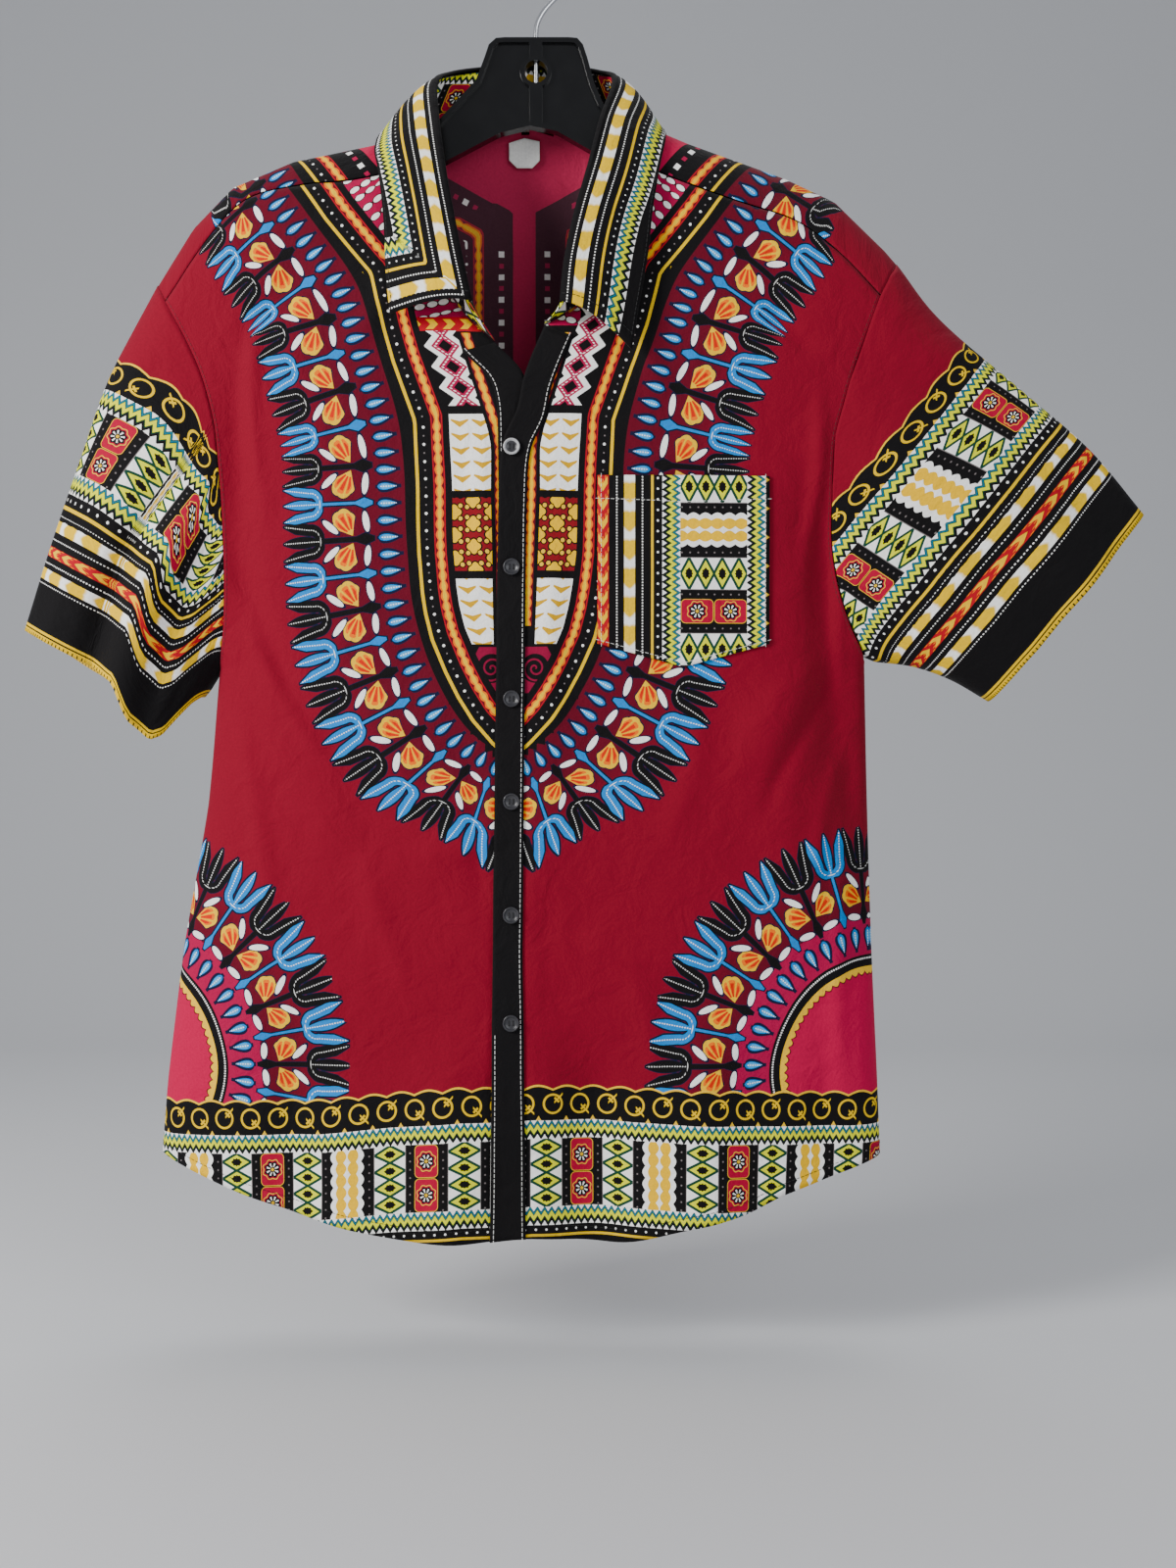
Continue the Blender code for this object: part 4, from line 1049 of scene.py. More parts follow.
# Back
# One panel of the same cotton, cut with the shoulders in one: it comes over the hanger to a
# seam on the front, and is sewn to the fronts down its sides. The neck's band of its own copy
# of the print is carried on in a T.
BACK_COLUMNS = 118
BACK_LOWER = 138
BACK_UPPER = 34
BACK_EASED = 0.6
SHOULDER_LENGTHEN = 12 * MM
NECK_HOLE_FOOT = -200 * MM
SHOULDER_SEAM_GAP = 1.3 * MM
BACK_SIDE_SPLIT = 13 / 23
BACK_HEM_RISE = 5 * MM
BACK_CENTRE = -9.5 * MM
NECK_CENTRE = Vector((-9.5, -10, 0)) * MM
NECK_ACROSS = 80 * MM
NECK_DEEP = 31 * MM
ARMHOLE_BACK_LEFT = table(
    "x z",
    [(-221, -505), (-213, -470), (-210, -430), (-211, -390), (-215, -350), (-224, -315), (-246, -267)],
)
ARMHOLE_BACK_RIGHT = table(
    "x z",
    [(230, -500), (211, -458), (203, -420), (202, -385), (205, -350), (213, -318), (237, -265)],
)
SHOULDER_TOP = {
    "turn": np.array([-0.85, -0.65, -0.35, 0, 0.35, 0.65, 1]),
    "left": np.array([-252, -256, -262, -265, -262, -256, -246]) * MM,
    "right": np.array([237, 243, 250, 253, 250, 245, 237]) * MM,
}
ACROSS_NECK = table("x z", [(-50, -146), (30, -138)])
BACK_LINE = table("x z", [(172.5, -134.6), (49.2, -198), (49.2, -400), (34, -436), (0, -462)])
BACK_LEFT = edge(SIDE_LEFT, ARMHOLE_BACK_LEFT, BACK_SIDE_SPLIT)
BACK_RIGHT = edge(SIDE_RIGHT, ARMHOLE_BACK_RIGHT, BACK_SIDE_SPLIT)
LOWER_SHOULDER = {"x": SHOULDER["x"], "z": SHOULDER["z"] - SHOULDER_ROLL}
BACK_TOP = line(part_of(LOWER_SHOULDER, ARMHOLE_BACK_LEFT["x"][-1], ARMHOLE_BACK_RIGHT["x"][-1]))
HEM_RISE = BACK_HEM_RISE * np.sin(np.pi * np.linspace(0, 1, len(HEM["x"])))
BACK_HEM = line({"x": HEM["x"], "z": HEM["z"] + HEM_RISE})
NECK_STRETCH = np.column_stack([ACROSS_NECK["x"], ACROSS_NECK["z"]])
SHOULDER_SEAM = np.vstack([soft_line(SEAM_LEFT, 40), NECK_STRETCH, soft_line(SEAM_RIGHT, 40)])


def over_shoulder(x, turn):
    """Points over the shoulder: turn 1 is down the back, -1 down the front."""
    z = shoulder_z(x) - SHOULDER_ROLL * (1 - np.cos(np.pi * turn / 2))
    y = np.where(turn >= 0, body_y(x, z, 1), body_y(x, z, -1))
    return np.stack([x, np.where(np.abs(turn) < 0.02, 0, y), z], -1)


def seam_turn(x):
    """How far over the shoulder the back reaches at each x."""
    z = np.interp(x, SHOULDER_SEAM[:, 0], SHOULDER_SEAM[:, 1]) + SHOULDER_SEAM_GAP
    drop = np.clip((shoulder_z(x) - z) / SHOULDER_ROLL, 0, 1)
    return -2 / np.pi * np.arccos(1 - drop)


def back_grid():
    even = np.linspace(0, 1, BACK_COLUMNS + 1)
    across = (1 - BACK_EASED) * even + BACK_EASED * (1 - np.cos(np.pi * even)) / 2
    u, v = np.meshgrid(across, np.linspace(0, 1, BACK_LOWER + 1))
    flat = coons(BACK_HEM, BACK_TOP, BACK_LEFT, BACK_RIGHT, u, v)
    y = body_y(flat[..., 0], flat[..., 1], 1)
    at_side = ((u < TOUCHING) | (u > 1 - TOUCHING)) & (v <= BACK_SIDE_SPLIT)
    lower = joined(flat[..., 0], np.where(at_side, SEAM / 2, y), flat[..., 1])
    u, share = np.meshgrid(across, np.linspace(0, 1, BACK_UPPER + 1)[1:])
    first, last = SEAM_LEFT["x"][0], SEAM_RIGHT["x"][-1]
    left = np.interp(1 + (seam_turn(first) - 1) * share, SHOULDER_TOP["turn"], SHOULDER_TOP["left"])
    right = np.interp(1 + (seam_turn(last) - 1) * share, SHOULDER_TOP["turn"], SHOULDER_TOP["right"])
    turn = 1 + (seam_turn(first + (last - first) * u) - 1) * share
    return np.vstack([lower, over_shoulder(left + (right - left) * u, turn)])


def back_bands_material(name, faded=0.0, pale=WHITE):
    paint = Paint(name, BLACK, ["band", "flat"])
    s, t, _ = paint.coordinates["band"]
    paint_bands(paint, t, s)
    lay = paint.lay
    square = s.fold(8.2).high(abs(t - 32.4))
    other = (8.2 - s.fold(8.2)).high(abs(t - 32.4))
    lay(square < 2.1, WHITE)
    lay(other < 1.7, MAGENTA)
    lay(t > 41, PINK)
    return paint.cloth(faded, pale)


NECK_PALE = ink(206, 120, 150)
BACK_BANDS = back_bands_material("printed cotton, back neck bands")
WRONG_BACK = back_bands_material("printed cotton, wrong side at the neck", 0.12, NECK_PALE)
back = back_grid()
middle_column = int(np.argmin(np.abs(back[0, :, 0] - BACK_CENTRE)))
x = flat_x(back, middle_column, back[:, middle_column : middle_column + 1, 0])
z = flat_z(back, BACK_LOWER)
turned_over = back[..., 1] < 0
coords = print_coords(x, z, BACK_CENTRE, BACK_LINE, BORDER_START["back"])
unrolled = 2 * (shoulder_z(x) + SHOULDER_LENGTHEN) - z
front_part = print_coords(x, unrolled, FRONT_CENTRE["x"][-1], FRONT_LINE, BORDER_START["back"])
for label in ("ray", "band"):
    coords[label] = np.where(turned_over[..., None], front_part[label], coords[label])
# the neck's hole is cut by leaving its faces out
around = np.hypot((back[..., 0] - NECK_CENTRE.x) / NECK_ACROSS, (back[..., 1] - NECK_CENTRE.y) / NECK_DEEP)
in_hole = (around < 1) & (back[..., 2] > NECK_HOLE_FOOT)
finishes = [RAYS, BACK_BANDS, BORDER, WRONG_BACK]
piece = sheet_mesh("visual_back", back, back - [0, 1, 0], coords, finishes, regions(coords))


def open_hole(thing, hole):
    """Leaves out the sheet's faces inside the hole; the collar covers its edge."""
    shape = bmesh.new()
    shape.from_mesh(thing.data)
    shape.verts.ensure_lookup_table()
    flags = np.concatenate([hole.ravel(), hole.ravel()])
    gone = [face for face in shape.faces if all(flags[corner.index] for corner in face.verts)]
    bmesh.ops.delete(shape, geom=gone, context="FACES")
    shape.to_mesh(thing.data)
    shape.free()


open_hole(piece, in_hole)
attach(piece, "root")
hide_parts("back")

# Sleeves
# Short sleeves of the printed cotton, set into dropped armholes, each a tube with one seam
# under the arm. The border print runs round them to a black hem.
SLEEVE_ALONG = 64
SLEEVE_ROUND = 132
CREST_ROW = BACK_LOWER + BACK_UPPER * 5 // 9
RIBS = {
    "right": table(
        "top_x top_z low_x low_z depth",
        [
            (253, -222, 230, -499, 27),
            (285, -262, 247, -500, 30),
            (340, -310, 268, -503, 31),
            (388, -352, 293, -512, 30),
            (426, -397, 319, -527, 27),
        ],
    ),
    "left": table(
        "top_x top_z low_x low_z depth",
        [
            (-265, -236, -222, -503, 25),
            (-298, -298, -225, -509, 27),
            (-319, -358, -227, -514, 28),
            (-340, -419, -230, -519, 27),
            (-358, -476, -234, -524, 25),
        ],
    ),
}
RIB_ROUND = 0.8
ARMHOLE_BLEND = 0.6
SLEEVE_START = {"left": -0.5 * MM, "right": 0.4 * MM}
UNDERARM_START = 2.6 * MM
CUFF_DROP = {
    "share": np.array([0, 0.05, 0.2, 0.26, 0.37, 0.44, 0.6, 1]),
    "drop": np.array([0, 8, 38, 44, 36, 14, 9, 2]) * MM,
}
BACK_CUFF_DROP = 16 * MM
BACK_FOLD_SHARE = 0.25
HALF_ROUND = 200
FAR_CUFF = 4 * MM
SLEEVE_FOLD = {
    "left": {"share": 0.52, "ridge": 13 * MM, "trough": 8 * MM, "ridge_width": 0.1, "trough_width": 0.07},
    "right": {"share": 0.72, "ridge": 5 * MM, "trough": 5 * MM, "ridge_width": 0.12, "trough_width": 0.1},
}
SLEEVE_CREASES = {
    "left": [(0.2, 0.05, 1.6), (0.62, 0.05, -1.6), (0.8, 0.06, 1.8)],
    "right": [(0.22, 0.05, 2.2), (0.38, 0.05, -2.0), (0.52, 0.06, 2.0), (0.88, 0.05, -1.6)],
}
SLEEVE_BANDS = {
    "length": 174,
    "sleeve": [-200, 0, 18, 30, 68, 80, 92, 96, 103, 108, 112, 119, 124, 128, 135, 140, 171, 174],
    "border": [
        -220, 0, 23.3, 35.7, 81.5, 94, 104, 112.5, 120, 126, 130.5, 138.5, 144, 147, 154, 160, 199, 206,
    ],
}
SLEEVE_PHASE = {"left": 30, "right": 72}
# What the left sleeve's deep fold hides of the print, and how much the bands widen above it
FOLDED_IN = {"left": 50, "right": 0}
FOLDED_AT = 0.6
FOLD_LINE = 0.03
FOLD_REACH = 114
SPREAD = {"left": 0.13, "right": 0}
WIDER = {"left": 0.24, "right": 0}
WIDER_FROM = 0.5
WIDER_OVER = 0.35
STRIPES_FROM = 108
SLEEVE_PALE = ink(226, 190, 110)
SLEEVE_PRINT = border_material("printed cotton, sleeves", stripes=True)
WRONG_SLEEVE = border_material(
    "printed cotton, wrong side of the sleeves", stripes=True, faded=0.3, pale=SLEEVE_PALE
)


def armhole_ring(side):
    """The armhole's points with their shares, from the underarm up the front and down the back."""
    panel = fronts[side]
    rows = np.arange(len(panel))
    front = panel[rows >= SIDE_SPLIT * (len(panel) - 1) - 1e-6, -1]
    column = 0 if side == "left" else -1
    edge_points = back[:, column]
    rising = np.vstack([front, edge_points[CREST_ROW:][::-1]])
    falling = edge_points[int(BACK_SIDE_SPLIT * BACK_LOWER) : CREST_ROW + 1][::-1]
    up = resampled(rising, SLEEVE_ROUND // 2)
    down = resampled(falling, SLEEVE_ROUND // 2)
    shares = (1 - np.cos(np.pi * np.linspace(0, 1, SLEEVE_ROUND // 2 + 1))) / 2
    points = np.vstack([up[:-1], down[:-1]])
    share = np.concatenate([shares[:-1], 1 - shares[:-1]])
    facing = np.concatenate([-np.ones(SLEEVE_ROUND // 2), np.ones(SLEEVE_ROUND // 2)])
    return points, share, facing


def resampled(points, count):
    steps = np.concatenate([[0], np.cumsum(np.linalg.norm(np.diff(points, axis=0), axis=1))])
    wanted = np.linspace(0, steps[-1], count + 1)
    return np.column_stack([np.interp(wanted, steps, points[:, i]) for i in range(3)])


def rib(ribs, out, share, facing):
    """Points on a sleeve's ribs: share 0 at the underarm edge and 1 at the top edge."""
    knots = np.linspace(0, 1, len(ribs["depth"]))
    top = soft_curve(knots, np.column_stack([ribs["top_x"], ribs["top_z"]]), out)
    low = soft_curve(knots, np.column_stack([ribs["low_x"], ribs["low_z"]]), out)
    depth = np.interp(out, knots, ribs["depth"])
    lift = np.sin(np.arccos(np.clip(1 - 2 * share, -1, 1))) ** RIB_ROUND
    flat = low[:, None] + (top - low)[:, None] * share[None, :, None]
    return joined(flat[..., 0], facing * depth[:, None] * lift, flat[..., 1])


def sleeve_grid(side):
    points, share, facing = armhole_ring(side)
    out = np.linspace(0, 1, SLEEVE_ALONG + 1)
    grid = rib(RIBS[side], out, share, facing)
    start = rib(RIBS[side], out[:1], share, facing)
    blend = (1 - smooth(out / ARMHOLE_BLEND))[:, None, None]
    grid = grid + (points - start) * blend
    fold = SLEEVE_FOLD[side]
    ridge = np.exp(-(((share - fold["share"] + fold["ridge_width"]) / fold["ridge_width"]) ** 2))
    trough = np.exp(-(((share - fold["share"] - fold["trough_width"]) / fold["trough_width"]) ** 2))
    push = (fold["ridge"] * ridge - fold["trough"] * trough) * smooth(out * 2)[:, None]
    for place, width, height in SLEEVE_CREASES[side]:
        drift = place + 0.1 * (out[:, None] - 0.5)
        push = push + height * MM * np.exp(-(((share - drift) / width) ** 2)) * smooth(out * 3)[:, None]
    grid[..., 1] += np.where(facing < 0, -push, push * BACK_FOLD_SHARE)
    grid[..., 1] += facing * rumple(grid[..., 0] * 1.3, grid[..., 2], 2.0) * smooth(share * (1 - share) * 6)
    if side == "left":
        front_sag = np.interp(share, CUFF_DROP["share"], CUFF_DROP["drop"])
        sag = np.where(facing > 0, BACK_CUFF_DROP * np.sin(np.pi * share), front_sag)
    else:
        sag = np.where(facing > 0, FAR_CUFF * np.sin(np.pi * share), 0)
    grid[..., 2] -= sag * out[:, None] ** 1.5
    near = (1 - smooth(out * 5.5))[:, None]
    grid[..., 0] += SLEEVE_START[side] * near
    grid[..., 2] += (UNDERARM_START * (1 - smooth(share * 6)) + abs(SLEEVE_START[side])) * near
    return grid


for side in ("left", "right"):
    grid = sleeve_grid(side)
    steps = np.linalg.norm(np.diff(grid, axis=0), axis=-1)
    to_cuff = np.vstack([np.cumsum(steps[::-1], axis=0)[::-1], np.zeros((1, grid.shape[1]))]) / MM
    half = SLEEVE_ROUND // 2
    share = (1 - np.cos(np.pi * np.linspace(0, 1, half + 1))) / 2
    share = np.concatenate([share[:-1], share[:0:-1]])
    along = SLEEVE_BANDS["length"] - to_cuff
    widened = 1 + WIDER[side] * smooth((share - WIDER_FROM) / WIDER_OVER)[None, :]
    along = np.where(along < STRIPES_FROM, STRIPES_FROM - (STRIPES_FROM - along) / widened, along)
    v = np.interp(along, SLEEVE_BANDS["sleeve"], SLEEVE_BANDS["border"])
    reach = np.linspace(0, HALF_ROUND, half + 1)
    hidden = FOLDED_IN[side] * smooth((share[:half] - FOLDED_AT) / FOLD_LINE)
    front_u = reach[:-1] + hidden - SPREAD[side] * np.maximum(reach[:-1] - FOLD_REACH, 0)
    top_u = HALF_ROUND + FOLDED_IN[side] - SPREAD[side] * (HALF_ROUND - FOLD_REACH)
    u = np.concatenate([front_u, reach[:0:-1] * top_u / HALF_ROUND])[None, :] + SLEEVE_PHASE[side] + 0 * v
    zero = np.zeros(v.shape)
    coords = {"hem": joined(u, v, zero), "flat": joined(u, v, zero)}
    inside = grid.mean(axis=1, keepdims=True)
    finishes = [SLEEVE_PRINT, WRONG_SLEEVE]
    piece = sheet_mesh(f"visual_sleeve_{side}", grid, inside, coords, finishes, closed=True)
    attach(piece, "root")
    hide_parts(f"sleeve_{side}")

# Collar
# Two layers of the printed cotton: a stand sewn round the neck and a leaf that folds over it.
# The leaf's stripes are cut along the fold, and turn the corner on the left point only.
COLLAR_CLOTH = 1.5 * MM
COLLAR_WALL = 1.3 * MM
COLLAR_COLUMNS = 168
LEAF_ROWS = 22
LEAF_BULGE = 5 * MM
STAND_ROWS = 10
STAND_IN = 2.4 * MM
STAND_NECK_IN = 2.3 * MM
NECK_MIDDLE_Z = -160 * MM
NECK_FIRST_ANGLE = math.radians(217.4)
NECK_SWEEP = math.radians(254.8)
STRIPES_TURN_TO = 0.42
FACE_CLEAR = 0.1 * MM
STAND_PRINT = (16, 76)
COLLAR = table(
    "station roll_x roll_y roll_z edge_x edge_y edge_z",
    [
        (0, -44, -57, -261, -97, -44, -267),
        (220, -51, -56, -230, -101, -41, -228),
        (450, -57, -51, -201, -103, -39, -195),
        (700, -63, -43, -170, -107, -34, -166),
        (950, -69, -28, -131, -110, -20, -145),
        (1120, -72, -6, -96, -107, 2, -130),
        (1270, -62, 13, -82, -88, 21, -136),
        (1400, -36, 22, -75, -48, 30, -131),
        (1500, -8, 25, -73, -8, 32, -128),
        (1600, 22, 23, -74, 34, 30, -128),
        (1730, 46, 13, -81, 70, 22, -131),
        (1880, 57, -4, -93, 87, 0, -127),
        (2050, 48, -27, -128, 89, -19, -142),
        (2300, 40, -42, -163, 83, -36, -178),
        (2550, 30, -51, -200, 79, -39, -206),
        (2800, 23, -55, -233, 74, -42, -242),
        (3000, 20, -57, -262, 66, -45, -291),
    ],
)


def inward(points):
    away = np.array([NECK_CENTRE.x, NECK_CENTRE.y, 0]) - points * [1, 1, 0]
    return away / np.linalg.norm(away, axis=-1, keepdims=True)


def top_z(x, y):
    """The height of the cloth over the shoulder at these places, seen from above."""
    low, high = -np.ones(len(x)), np.ones(len(x))
    for _ in range(36):
        middle = (low + high) / 2
        before = over_shoulder(x, middle)[:, 1] < y
        low, high = np.where(before, middle, low), np.where(before, high, middle)
    return over_shoulder(x, low)[:, 2]


def neck_seam(station):
    """The stand's foot, just inside the neck edge."""
    angle = NECK_FIRST_ANGLE - NECK_SWEEP * (np.clip(station, 1, 2) - 1)
    x = NECK_CENTRE.x + (NECK_ACROSS - STAND_NECK_IN) * np.cos(angle)
    y = NECK_CENTRE.y + (NECK_DEEP - STAND_NECK_IN) * np.sin(angle)
    over = joined(x, y, top_z(x, y) + SEAM)
    left = at(line(NECK_LEFT), np.clip(station, 0, 1))
    right = at(line(NECK_RIGHT), np.clip(3 - station, 0, 1))
    flat = np.where((station < 1)[:, None], left, right)
    lean = np.stack([NECK_CENTRE.x - flat[:, 0], 0 * station, NECK_MIDDLE_Z - flat[:, 1]], -1)
    lean = lean / np.linalg.norm(lean, axis=-1, keepdims=True) * STAND_NECK_IN
    front = joined(flat[:, 0], body_y(flat[:, 0], flat[:, 1], -1) - CLOTH, flat[:, 1]) + lean
    return np.where(((station >= 1) & (station <= 2))[:, None], over, front)


knots = np.linspace(0, 1, len(COLLAR["station"]))
shares = np.linspace(0, 1, COLLAR_COLUMNS + 1)
collar = soft_curve(knots, np.column_stack([COLLAR[name] for name in list(COLLAR)[1:]]), shares)
roll, leaf_edge = collar[:, :3], collar[:, 3:]
stations = np.interp(shares, knots, COLLAR["station"])
steps = np.concatenate([[0], np.cumsum(np.linalg.norm(np.diff(roll, axis=0), axis=1))])
down = np.linspace(1, 0, LEAF_ROWS + 1)[:, None, None]
leaf = roll + (leaf_edge - roll) * down
bulge = -inward(leaf) + [0, 0, 0.6]
bulge = bulge / np.linalg.norm(bulge, axis=-1, keepdims=True)
leaf = leaf + bulge * LEAF_BULGE * np.sin(np.pi * down**0.7)
wave = np.sin(steps / MM / 19 + 1.1) + 0.6 * np.sin(steps / MM / 8.3)
leaf = leaf + bulge * 0.5 * MM * wave[None, :, None] * down
turns = np.linspace(0, np.pi, 7)[1:, None, None]
fold_middle = roll + inward(roll) * STAND_IN / 2
fold_top = np.array([0, 0, STAND_IN / 2]) * np.sin(turns)
leaf = np.vstack([leaf, fold_middle - inward(roll) * STAND_IN / 2 * np.cos(turns) + fold_top])
widths = np.linalg.norm(np.diff(leaf, axis=0), axis=-1)
to_fold = np.concatenate([np.cumsum(widths[:LEAF_ROWS][::-1], axis=0)[::-1], np.zeros((1, leaf.shape[1]))])
to_fold = np.vstack([to_fold, np.zeros((len(turns), leaf.shape[1]))]) / MM
along = np.broadcast_to(steps / MM, to_fold.shape)
on_left = shares < STRIPES_TURN_TO
across_stripes = np.where(on_left, np.minimum(to_fold, along), to_fold)
along_stripes = np.where(on_left & (along < to_fold), -to_fold, along)
zero = np.zeros(to_fold.shape)
coords = {"hem": joined(along_stripes, across_stripes, zero), "flat": joined(along, to_fold, zero)}


def collar_material(name):
    paint = Paint(name, BLACK, ["hem", "flat"])
    u, w, _ = paint.coordinates["hem"]
    lay = paint.lay
    for stitch in (2.6, 17.5):
        lay((abs(w - stitch) < 0.45) * (u.fold(1.0) < 0.5), WHITE)
    paint_ikat(paint, u, w - 9.7)
    lay(abs(w - 23.5) < 0.9, GOLD)
    lay(length(w - 28, u.fold(2.8)) < 0.6, WHITE)
    paint_zigzag(paint, u, w - 37.5)
    return paint.cloth()


COLLAR_PRINT = collar_material("printed cotton, collar")
axis_points = leaf * [0, 0, 1] + np.array(NECK_CENTRE)
finishes = [COLLAR_PRINT, COLLAR_PRINT]
collar_leaf = sheet_mesh(
    "visual_collar_leaf", leaf, axis_points, coords, finishes, cloth=COLLAR_CLOTH, wall=COLLAR_WALL
)
leaf_outer = leaf + out_of(leaf, axis_points, False)[0] * (COLLAR_CLOTH + FACE_CLEAR)
foot = neck_seam(stations)
stand_top = roll + inward(roll) * STAND_IN - [0, 0, STAND_IN / 2]
rise = np.linspace(0, 1, STAND_ROWS + 1)[:, None, None]
stand = foot + (stand_top - foot) * rise
stand_height = np.linalg.norm(stand_top - foot, axis=-1) / MM
u = np.broadcast_to(steps / MM + STAND_PRINT[0], stand.shape[:2])
v = STAND_PRINT[1] - stand_height * rise[..., 0]
coords = {"hem": joined(u, v, 0 * v), "flat": joined(u, v, 0 * v)}
axis_points = stand * [0, 0, 1] + np.array(NECK_CENTRE)
collar_stand = sheet_mesh("visual_collar_stand", stand, axis_points, coords, [BORDER, BORDER])
for piece, node, cut, area in (
    (collar_leaf, "collar_leaf", (0.60, 0.075), 0.034),
    (collar_stand, "collar_stand", (0.52, 0.045), 0.018),
):
    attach(piece, "root")
    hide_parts(node)

# Plackets
# Black cotton bands, folded lengthwise and sewn on both front edges. The top one lies over
# the under one, which is a little wider.
PLACKET_COLUMNS = 10
PLACKET_ROWS = 150
PLACKET_SEEN = table("z width", [(-905, 24.5), (-820, 22.5), (-700, 19.6), (-400, 19), (-230, 20)])
UNDER_WIDER = 1.5 * MM
PUCKER = 0.25 * MM


def plain_cloth(name, colour, rough=0.82):
    paint = Paint(name, colour, ["flat"])
    paint.lay(0.0, colour)
    return paint.cloth(rough=rough)


BLACK_COTTON = plain_cloth("black cotton", BLACK)


def strip_grid(side):
    """The band along a front's edge, on the panel's own inner face moved out by the panel."""
    across, up = np.linspace(0, 1, PLACKET_COLUMNS + 1), np.linspace(0, EDGE_SPLIT, PLACKET_ROWS + 1)
    share, v = np.meshgrid(across, up)
    inner, outer = (LEFT_INNER, LEFT_OUTER) if side == "left" else (RIGHT_INNER, RIGHT_OUTER)
    width = np.linalg.norm(at(inner, v) - at(outer, v), axis=-1)
    sewn = np.interp(at(inner, v)[..., 1], PLACKET_SEEN["z"], PLACKET_SEEN["width"])
    sewn = sewn + (UNDER_WIDER if side == "left" else 0)
    grid = front_place(side, share * sewn / width, v)
    out, _ = out_of(grid, behind(grid), False)
    pucker = np.sin(grid[..., 2] * 520 + 2 * np.sin(grid[..., 2] * 90)) * np.sin(np.pi * share) ** 2
    return grid + out * (CLOTH + SEAM + PUCKER * pucker[..., None]), share


strips = {}
for side, node in (("right", "placket"), ("left", "under_placket")):
    grid, share = strip_grid(side)
    flat = joined(share * PLACKET_WIDTH / MM, grid[..., 2] / MM, 0 * share)
    piece = sheet_mesh(f"visual_{node}", grid, behind(grid), {"flat": flat}, [BLACK_COTTON, BLACK_COTTON])
    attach(piece, "root")
    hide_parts(node)
    strips[side] = grid

# Pocket
# A patch pocket with a pointed foot, cut from the border print turned a quarter. It is sewn on
# the right front round its sides and foot, and its mouth stands a little open.
POCKET = {"left": 43, "right": 161, "top": -375, "side": -490, "point": -506}
POCKET_OUT = 0.9 * MM
POCKET_SLACK = 1.6 * MM
SLACK_FROM = 0.55
SLACK_RISE = 2.4
POCKET_CELLS = 44
POCKET_PRINT = (-348.3, 181.3)
even = np.linspace(0, 1, POCKET_CELLS + 1)
u, v = np.meshgrid(even, even)
x = (POCKET["left"] + (POCKET["right"] - POCKET["left"]) * u) * MM
low = POCKET["point"] + (POCKET["side"] - POCKET["point"]) * np.abs(2 * u - 1)
z = (low + (POCKET["top"] - low) * v) * MM
slack = POCKET_SLACK * np.sin(np.pi * u) * smooth((v - SLACK_FROM) * SLACK_RISE)
pocket = joined(x, body_y(x, z, -1) - CLOTH - POCKET_OUT - slack, z)
print_u, print_v = POCKET_PRINT[0] - z / MM, POCKET_PRINT[1] - x / MM
coords = {"hem": joined(print_u, print_v, 0 * u), "flat": joined(print_u, print_v, 0 * u)}
piece = sheet_mesh("visual_pocket", pocket, behind(pocket), coords, [SLEEVE_PRINT, WRONG_SLEEVE])
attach(piece, "root")
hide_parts("pocket")

# Neck label
# A bare white satin tab with its lower corners cut off, sewn into the back neck seam and
# hanging inside.
LABEL = {"left": -20, "right": 2, "drop": 18, "chamfer": 5}
LABEL_CLEAR = 1.6 * MM
LABEL_THICK = 1.0 * MM
LABEL_BELOW = 3 * MM
LABEL_GRID = (24, 12)
u, v = np.meshgrid(*[np.linspace(0, 1, count + 1) for count in LABEL_GRID])
x = (LABEL["left"] + (LABEL["right"] - LABEL["left"]) * u) * MM
top = top_z(x[0], np.full(len(x[0]), NECK_CENTRE.y + NECK_DEEP)) - LABEL_BELOW
cut_off = LABEL["chamfer"] * MM * np.clip(1 - np.minimum(u, 1 - u) * 4, 0, 1)
low = top.mean() - LABEL["drop"] * MM + cut_off
z = low + (top - low) * v
label = joined(x, body_y(x, z, 1) - LABEL_THICK - LABEL_CLEAR, z)
tape = Paint("label tape", WHITE, ["flat"])
weave = tape.coordinates["flat"][0].fold(0.5)
tape.lay((weave < 0.2) * 0.1, GREY)
LABEL_TAPE = tape.cloth(rough=0.5)
flat = joined(x, z, 0 * x) / MM
piece = sheet_mesh("visual_neck_label", label, label + [0, 1, 0], {"flat": flat}, [LABEL_TAPE, LABEL_TAPE])
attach(piece, "root")
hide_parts("neck_label")

# Buttons
# Four-hole resin buttons, dished inside a round rim and sewn on the top placket with dark
# thread. The top one is paler.
BUTTON_X = -15.5 * MM
BUTTON_HEIGHTS = [-356, -438, -528, -598, -675, -748]
BUTTON_RIM = [(4.3, 1.7), (4.7, 2.25), (5.1, 2.4), (5.5, 2.2), (5.75, 1.6), (5.6, 0.6), (5.0, 0)]
BUTTON_PROFILE = [(0, 1.3), (3.9, 1.3)] + BUTTON_RIM
HOLE_PROFILE = [(0, 1.36), (0.65, 1.36), (0.65, 1.2)]
HOLE_AT = 1.35
HOLE_SIDES = 12
SEWN = {"low": Vector((-0.28, -1.75, -1.5)), "size": Vector((0.56, 0.5, 3.0))}
BUTTON_SIDES = 40
THREAD_SLOT = 1
DISH_SLOT = 2


